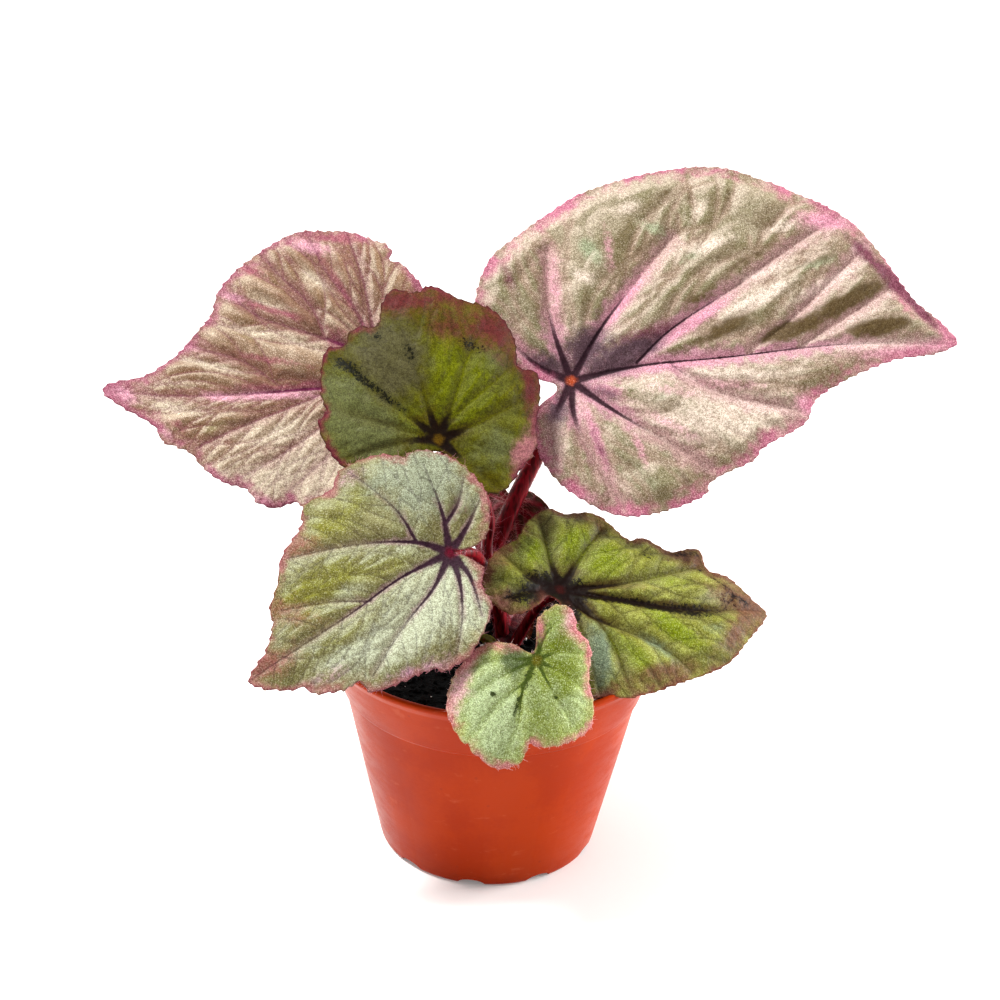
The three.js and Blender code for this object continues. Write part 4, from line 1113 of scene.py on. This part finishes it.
# ---- rods, hairs and turned forms: each gives its (vertices, faces) ----
def rod(line, radii, sides, ridge=0.0):
    """A closed round rod along the points, with one radius a point."""
    line = np.asarray(line, float)
    tangents = unit(np.gradient(line, axis=0))
    across = unit(np.cross(tangents[0], [0.31, 0.87, 0.21]))
    angle = circle(sides)
    rings = []
    for point, tangent, radius in zip(line, tangents, radii):
        across = unit(across - tangent * (across @ tangent))
        other = np.cross(tangent, across)
        swell = radius * (1 + ridge * np.cos(5 * angle))[:, None]
        rings.append(point + swell * (np.cos(angle)[:, None] * across + np.sin(angle)[:, None] * other))
    return closed_rings(np.array(rings), line[0], line[-1])


def closed_rings(rings, first, last):
    """Rings of points joined into a closed surface with a point at each end."""
    count, sides = rings.shape[:2]
    vertices = np.vstack([rings.reshape(-1, 3), [first, last]])
    start, end = count * sides, count * sides + 1
    faces = []
    for side in range(sides):
        after = (side + 1) % sides
        faces.append((start, after, side))
        faces.append((end, (count - 1) * sides + side, (count - 1) * sides + after))
        for ring in range(count - 1):
            low, high = ring * sides, (ring + 1) * sides
            faces.append((low + side, low + after, high + after, high + side))
    return vertices, faces


def hairs(roots, outward, lengths, width, curl, rng, rings=5):
    """Many fine tapered hairs, each a three-sided rod with a curl of its own."""
    count, sides = len(roots), 3
    bend = rng.normal(0, 1, (count, 3)) * curl
    swirl = rng.normal(0, 1, (count, 3)) * curl * 0.35
    share = np.linspace(0, 1, rings)[None, :, None]
    line = roots[:, None] + outward[:, None] * lengths[:, None, None] * share
    line += (bend[:, None] * share**2 + swirl[:, None] * np.sin(share * 9)) * lengths[:, None, None]
    tangent = unit(np.gradient(line, axis=1))
    across = unit(np.cross(tangent, np.array([0.3, 0.5, 0.81])))
    other = np.cross(tangent, across)
    angle = circle(sides)[None, None, :, None]
    radius = width / 2 * (1 - 0.82 * share)
    spin = np.cos(angle) * across[:, :, None] + np.sin(angle) * other[:, :, None]
    vertices = (line[:, :, None] + radius[..., None] * spin).reshape(-1, 3)
    one = []
    for ring in range(rings - 1):
        for side in range(sides):
            low, high, after = ring * sides, (ring + 1) * sides, (side + 1) % sides
            one.append((low + side, low + after, high + after, high + side))
    tip = (rings - 1) * sides
    one += [(2, 1, 0), (tip, tip + 1, tip + 2)]
    return vertices, [tuple(k * rings * sides + i for i in face) for k in range(count) for face in one]


def together(parts):
    """Several (vertices, faces) as one."""
    vertices, faces, base = [], [], 0
    for points, polygons in parts:
        vertices.append(points)
        faces += [tuple(i + base for i in face) for face in polygons]
        base += len(points)
    return np.vstack(vertices), faces


def turned(profile, segments):
    """A closed body turned round +Z from [radius, height] points whose ends lie on the axis."""
    profile = np.array(profile, float)
    angle, radii = circle(segments), profile[1:-1, 0]
    heights = np.repeat(profile[1:-1, 1:], segments, 1)
    rings = np.stack([np.outer(radii, np.cos(angle)), np.outer(radii, np.sin(angle)), heights], -1)
    return closed_rings(rings, (0, 0, profile[0, 1]), (0, 0, profile[-1, 1]))


def rounded(profile, reach, steps=4):
    """The profile with each corner drawn as a small curve that starts up to `reach` before it."""
    profile = [np.array(p, float) for p in profile]
    made = [profile[0]]
    for before, here, after in zip(profile, profile[1:], profile[2:]):
        cut_in = min(reach, 0.45 * np.linalg.norm(here - before))
        cut_out = min(reach, 0.45 * np.linalg.norm(after - here))
        start, end = here + unit(before - here) * cut_in, here + unit(after - here) * cut_out
        for t in np.linspace(0, 1, steps):
            made.append((1 - t) ** 2 * start + 2 * t * (1 - t) * here + t * t * end)
    return made + [profile[-1]]


# ---- pot ----
def drain_cutters():
    """A low arch through the corner of wall and floor for each drain slot."""
    half, top = POT["drain_width"] / 2, POT["drain_height"]
    arch = [(-half * math.cos(t), top * math.sin(t) ** 0.8) for t in np.linspace(0.12, math.pi - 0.12, 13)]
    arch = [(-half, -2), *arch, (half, -2)]
    radii = POT["base_radius"] + 4, POT["drain_inner"]
    parts = []
    for slot in range(POT["drain_slots"]):
        turn = math.radians(POT["first_slot"] - 90 + slot * 360 / POT["drain_slots"])
        out, aside = np.append(toward(turn), 0), np.array([-math.sin(turn), math.cos(turn), 0])
        rings = np.array([[out * radius + aside * x + [0, 0, z] for x, z in arch] for radius in radii])
        parts.append(closed_rings(rings, *(out * radius for radius in radii)))
    return together(parts)


def pot():
    neck, rim = POT["height"] - POT["collar_height"], POT["rim_radius"]
    base, throat, top = POT["base_radius"], POT["neck_radius"], POT["height"]
    collar = throat + POT["collar_step"]
    wall, floor = POT["wall"], POT["floor"]
    profile = [
        (0, 0), (base - 1, 0), (base, 1), (throat, neck), (collar, neck + 0.5),
        (rim - 1.5, top - 3.6), (rim, top - 1.4), (rim, top - 0.5), (rim - 0.5, top), (rim - 1.5, top),
        (rim - 2, top - 0.8), (rim - 2.7, top - 3.4), (collar - wall, neck + 0.9),
        (throat - wall, neck), (base - wall, floor + 0.6), (base - wall - 0.8, floor), (0, floor),
    ]
    form = turned(rounded(profile, 0.5), 240)
    made = piece("pot_shell", form, [pot_plastic()], ["pot"])
    cutter = placed("drain_cutter", mesh_of("drain_cutter", *drain_cutters()))
    cut = made.modifiers.new("drain", "BOOLEAN")
    cut.object, cut.operation, cut.solver = cutter, "DIFFERENCE", "EXACT"
    shaped = bpy.data.meshes.new_from_object(made.evaluated_get(bpy.context.evaluated_depsgraph_get()))
    made.modifiers.clear()
    made.data = shaped
    bpy.data.objects.remove(cutter)
    shaped.set_sharp_from_angle(angle=math.radians(38))


# ---- soil ----
def soil_height(x, y):
    radius = np.hypot(x, y)
    rise = (SOIL["edge"] - SOIL["middle"]) * np.clip((radius - 16) / 30, 0, 1) ** 1.6
    return SOIL["middle"] + rise + 0.3 * np.exp(-((radius / 12) ** 2))


def blob_form():
    """Vertices and faces of a round blob with 80 faces."""
    made = bmesh.new()
    bmesh.ops.create_icosphere(made, subdivisions=2, radius=1)
    vertices = np.array([v.co[:] for v in made.verts])
    faces = [tuple(v.index for v in f.verts) for f in made.faces]
    made.free()
    return vertices, faces


def crumbs(places, sizes, rng, rough=0.3):
    """A lumpy crumb, turned and stretched its own way, at each place."""
    vertices, faces = blob_form()
    parts = []
    for place, size in zip(places, sizes):
        waves = np.sin(vertices @ rng.normal(0, 2.4, (3, 3)) + rng.uniform(0, 6, 3))
        lumps = 1 + rough * waves.mean(1, keepdims=True)
        turn, _ = np.linalg.qr(rng.normal(0, 1, (3, 3)))
        stretch = rng.uniform(0.6, 1.2, 3) * size / 2
        parts.append(((vertices * lumps * stretch) @ (turn * np.sign(np.linalg.det(turn))) + place, faces))
    return together(parts)


def soil_body(outer, rng, segments=210, ring_count=66):
    """The bed: a lumpy top over a plain skirt that follows the pot's inside."""
    throat, neck, base = POT["neck_radius"], POT["height"] - POT["collar_height"], POT["base_radius"]
    rings, angle = np.linspace(0.6, outer, ring_count), circle(segments)
    x, y = np.outer(rings, np.cos(angle)), np.outer(rings, np.sin(angle))
    places = x.ravel(), y.ravel()
    lumps = 0.9 * cell_bumps(*places, 3.4, rng) + 0.55 * cell_bumps(*places, 1.7, rng)
    lumps = (lumps.reshape(x.shape) - 0.8) * np.clip((outer - rings) / 2, 0.25, 1)[:, None]
    top = np.stack([x, y, soil_height(x, y) + lumps], -1)[::-1]
    walls = [
        (base - 3, SOIL["bottom"]), (base - 1.9, 3.2), (throat - 1.9, neck), (outer - 1, SOIL["edge"] - 4),
    ]
    skirt = np.array([[(r * c, r * s, h) for c, s in zip(np.cos(angle), np.sin(angle))] for r, h in walls])
    return closed_rings(np.concatenate([skirt, top]), (0, 0, SOIL["bottom"]), (0, 0, SOIL["middle"]))


def grains(outer, rng, count=950):
    turn, radius = rng.uniform(0, 2 * math.pi, count), (outer - 1.4) * np.sqrt(rng.random(count))
    x, y = radius * np.cos(turn), radius * np.sin(turn)
    sizes = rng.uniform(0.8, 2.6, count) * rng.uniform(0.6, 1, count)
    return crumbs(np.stack([x, y, soil_height(x, y) + 0.12 * sizes], 1), sizes, rng)


def fibres(outer, rng, count=70):
    """Fine roots and coir strands that lie bowed on the bed."""
    made = []
    for _ in range(count):
        turn, radius = rng.uniform(0, 2 * math.pi), (outer - 5) * math.sqrt(rng.random())
        line = [radius * toward(turn)]
        heading, bend = rng.uniform(0, 6.28), rng.normal(0, 0.16)
        for _ in range(rng.integers(5, 12)):
            heading += bend
            line.append(line[-1] + LINE_STEP * toward(heading))
        line = np.array([p for p in line if np.hypot(*p) < outer - 1])
        if len(line) < 4:
            continue
        height = soil_height(*line.T) + 0.5 + 0.5 * np.sin(np.linspace(0, 3, len(line)))
        made.append(rod(np.column_stack([line, height]), np.full(len(line), rng.uniform(0.1, 0.24)), 5))
    return made


def soil():
    rng = np.random.default_rng(SEED + 40)
    collar_slope = 0.36
    up_the_collar = SOIL["edge"] - (POT["height"] - POT["collar_height"])
    inside = POT["neck_radius"] + POT["collar_step"] - POT["wall"]
    outer = inside + up_the_collar * collar_slope - SOIL["rim_gap"]
    form = together([soil_body(outer, rng), grains(outer, rng), *fibres(outer, rng)])
    piece("soil_bed", form, [peat()], ["soil"])


def perlite(count=26):
    """White grains: the ones that show between the leaves, then others over the back of the bed."""
    rng = np.random.default_rng(SEED + 41)
    turn, radius = rng.uniform(0, 2 * math.pi, count), 43 * np.sqrt(rng.random(count))
    x, y = radius * np.cos(turn), np.abs(radius * np.sin(turn)) - 8
    places = [p for p, _ in SHOWING_PERLITE] + list(np.stack([x, y, soil_height(x, y) + 0.2], 1))
    sizes = [s for _, s in SHOWING_PERLITE] + list(rng.uniform(0.7, 2.2, count))
    piece("perlite", crumbs(places, sizes, rng, 0.4), [perlite_grain()])


# ---- crown ----
def rhizome(loops=58, sides=44):
    """A stout creeping stem along Y: swollen between old leaf scars, knobbly, rounded at its ends."""
    rng = np.random.default_rng(SEED + 42)
    middle, half, radius = np.array(RHIZOME["middle"]), RHIZOME["length"] / 2, RHIZOME["radius"]
    share = np.linspace(-0.985, 0.985, loops)
    round_end = np.sqrt(np.maximum(1 - np.abs(share) ** 5, 0))
    swell = 0.965 + 0.035 * np.cos(share * 8 * math.pi) - 0.07 * np.exp(-((np.sin(share * 9.5) / 0.16) ** 2))
    around, along = np.meshgrid(circle(sides), share * half)
    bumps = cell_bumps((around * radius).ravel() + 40, along.ravel() + 40, 2.6, rng).reshape(around.shape)
    girth = radius * (round_end * swell)[:, None] * (0.95 + 0.07 * bumps)
    rings = np.stack([girth * np.cos(-around), along, girth * np.sin(-around)], -1) + middle
    form = closed_rings(rings, middle - [0, half, 0], middle + [0, half, 0])
    skin = crown_skin("rhizome_skin", "#2e060c", "#500e16", "#1c0506")
    piece("rhizome_stem", form, [skin], ["rhizome"])


def scale_form(foot, tip, half_width, turn):
    """A thin pointed scale, cupped across and curling back at its tip."""
    foot, tip = np.array(foot, float), np.array(tip, float)
    rise = unit(tip - foot)
    aside = np.array([math.cos(math.radians(turn)), 0, -math.sin(math.radians(turn))])
    aside = unit(aside - rise * (aside @ rise))
    out = np.cross(aside, rise)
    share, across = np.linspace(0, 1, 22)[:, None], np.linspace(-1, 1, 13)[None]
    width = half_width * (1 - share**1.7) ** 0.9 + 0.08
    bow = 0.45 * across**2 * width + 0.18 * share**2 * across
    crinkle = 0.09 * np.sin(across * 16 + share * 5)
    spine = foot + rise * (share * np.linalg.norm(tip - foot))[..., None]
    sheets = []
    for lift in (0.16, -0.16):
        shift = bow + 1.1 * share**2.4 + crinkle + lift * (1 - 0.6 * across**2)
        sheets.append(spine + aside * (across * width)[..., None] + out * shift[..., None])
    loops = np.concatenate([sheets[0], sheets[1][:, ::-1]], axis=1)
    return closed_rings(loops, foot, loops[-1].mean(0))


def crown():
    """The papery stipules and the rolled leaf bud."""
    papery = crown_skin("stipule_paper", "#5c2a18", "#93532f", "#3c180e")
    for name, scale in STIPULES.items():
        piece(name + "_scale", scale_form(**scale), [papery], [name])
    foot, tip = np.array(BUD["foot"], float), np.array(BUD["tip"], float)
    share = np.linspace(0.02, 0.98, 26)
    line = foot + (tip - foot) * share[:, None] + np.outer(np.sin(share * math.pi), [0.3, -0.4, 0.5])
    girth = BUD["radius"] * np.interp(share, [0, 0.12, 0.5, 0.8, 1], [0.55, 0.8, 1, 0.7, 0.12])
    olive = crown_skin("bud_skin", "#5c5a18", "#8a8430", "#7a2c22")
    piece("leaf_bud_rolled", rod(line, girth, 20, 0.1), [olive], ["leaf_bud"])


# ---- petioles and hairs ----
def petiole_line(leaf, look):
    """Points from the rhizome to the blade's underside, which the last few meet square on."""
    up, attach = blade_axes(leaf)[2], np.array(leaf["attach"])
    path = [np.array(p, float) for p in leaf["petiole"]["path"]]
    top = vein_depth(look) + 0.8
    neck = top + 0.4 + 0.4 * leaf["petiole"]["diameter"]
    below = (attach - path[-1]) @ up
    path[-1] = path[-1] - up * max(0, neck + 1.2 - below)
    return smooth_line(path + [attach - up * neck, attach - up * top], LINE_STEP)


def petiole_girth(leaf, count):
    """The radius at each point: broad at the foot, tapering, pinched where it meets the blade."""
    share = np.linspace(0, 1, count)
    spread = 1 + 0.35 * np.exp(-share / 0.05) - 0.3 * np.exp(-(1 - share) / 0.025)
    return leaf["petiole"]["diameter"] / 2 * spread * (1.1 - 0.34 * share)


def petiole_hairs(line, girth, per_mm, length, rng):
    """Hairs all over a petiole except its front, shorter towards the blade."""
    count = int(len(line) * LINE_STEP * per_mm)
    place = rng.uniform(1, len(line) - 4, count)
    index = place.astype(int)
    tangent = unit(np.gradient(line, axis=0))[index]
    out = rng.normal(0, 1, (count, 3))
    out = unit(out - tangent * (out * tangent).sum(1, keepdims=True))
    kept = out[:, 1] > -0.35
    index, place, tangent, out = index[kept], place[kept], tangent[kept], out[kept]
    count = len(index)
    centre = line[index] + (place - index)[:, None] * LINE_STEP * tangent
    roots = centre + out * (girth[index] * 0.93)[:, None]
    aim = unit(out + rng.normal(0, 0.35, (count, 3)) + tangent * rng.normal(0, 0.3, (count, 1)))
    lengths = length * np.clip((len(line) - place) / 10, 0.2, 1) * rng.uniform(0.35, 1.15, count)
    return hairs(roots, aim, lengths, width=0.1, curl=0.5, rng=rng)


def margin_hairs(made, length, spacing, rng):
    """Short hairs standing out all round a blade's margin."""
    count = len(made.data.vertices) // 2
    points = np.empty(count * 6)
    made.data.vertices.foreach_get("co", points)
    points = points.reshape(-1, 3) / MM
    loop = np.array(rim_loop([tuple(p.vertices) for p in made.data.polygons[: made["upper_faces"]]]))
    roots = (points[loop] + points[loop + count]) / 2
    run = unit(np.roll(roots, -1, axis=0) - np.roll(roots, 1, axis=0))
    upward = unit(points[loop] - points[loop + count])
    outward = unit(np.cross(run, upward))
    chosen = np.flatnonzero(rng.random(len(loop)) < MARGIN_STEP / spacing)
    aim = unit(outward[chosen] + rng.normal(0, 0.45, (len(chosen), 3)) + upward[chosen] * 0.25)
    lengths = length * rng.uniform(0.4, 1.2, len(chosen))
    return hairs(roots[chosen], aim, lengths, width=0.08, curl=0.25, rng=rng, rings=4)


# ---- the plant ----
def plant():
    under, crimson = blade_underside(), petiole_skin()
    for order, (name, leaf) in enumerate(LEAVES.items()):
        rng = np.random.default_rng(SEED + 60 + order)
        look, (per_mm, length, margin_length, colour) = LOOKS[name], HAIRS[name]
        line = petiole_line(leaf, look)
        girth = petiole_girth(leaf, len(line))
        petiole = "petiole_" + name
        piece(petiole + "_rod", rod(line, girth, 22, 0.035), [crimson], [petiole])
        made = blade(name, leaf, look, [blade_skin(name, look), under])
        on_petiole = petiole_hairs(line, girth, per_mm, length, rng)
        form = together([on_petiole, margin_hairs(made, margin_length, 2.0, rng)])
        piece("hairs_" + name, form, [hair_skin("hairs_" + name, colour)])


# ---- stage, light and camera ----
def stage():
    half, colour, glow = 3000, "#f4f2ef", 0.16
    corners = [(-half, -half, 0), (half, -half, 0), (half, half, 0), (-half, half, 0)]
    surface = Surface("floor", 0.1)
    surface.give(surface.shader.inputs["Emission Color"], "#ffffff")
    surface.give(surface.shader.inputs["Emission Strength"], glow)
    floor = placed("floor", mesh_of("floor", corners, [(0, 1, 2, 3)], [surface.finish(colour, 0.9)]))


def softbox(name, place, aim, size, power):
    light = bpy.data.lights.new(name, "AREA")
    light.shape, light.size, light.energy = "SQUARE", size, power
    made = placed(name, light)
    made.location = place
    made.rotation_euler = (Vector(aim) - Vector(place)).to_track_quat("-Z", "Y").to_euler()


def lights():
    """A white room, dim in front and bright at its sides and back, with a key light overhead."""
    softbox("key", (-0.55, -0.1, 1.3), (0, 0, 0.1), 0.32, 31)
    softbox("right", (1.15, 0.3, 0.3), (0, 0, 0.06), 0.5, 27)
    world = bpy.data.worlds.new("white_room")
    tree = NodeTree(world)
    direction = tree.node("TexCoord", {}, "Generated")
    across, back = (tree.node("SeparateXYZ", {0: direction}, k) for k in range(2))
    dim, bright, side_share = 0.18, 1.0, 0.8
    bright_side = tree.math("MULTIPLY_ADD", tree.math("ABSOLUTE", across), side_share, back)
    strength = tree.fade(bright_side, -0.7, 0.5, dim, bright)
    backdrop = tree.node("Background", {"Color": "#ffffff", "Strength": strength})
    tree.add("OutputWorld", {"Surface": backdrop})
    bpy.context.scene.world = world
    bpy.context.scene.view_settings.view_transform = "Standard"


def camera():
    pitch, roll = math.radians(CAMERA["pitch"]), math.radians(CAMERA["roll"])
    back = Vector((0, -math.cos(pitch), math.sin(pitch)))
    up, right = Vector((0, math.sin(pitch), math.cos(pitch))), Vector((1, 0, 0))
    turned_right = right * math.cos(roll) + up * math.sin(roll)
    turned_up = up * math.cos(roll) - right * math.sin(roll)
    data = bpy.data.cameras.new("camera")
    data.lens, data.sensor_width = CAMERA["lens"], CAMERA["sensor"]
    data.clip_start, data.clip_end = 0.05, 20
    turn = Matrix((turned_right, turned_up, back)).transposed().to_4x4()
    place = (Vector(CAMERA["target"]) + back * CAMERA["distance"]) * MM
    made = placed("camera", data)
    made.matrix_world = Matrix.Translation(place) @ turn
    bpy.context.scene.camera = made


camera()
lights()
stage()
pot()
soil()
perlite()
rhizome()
crown()
plant()
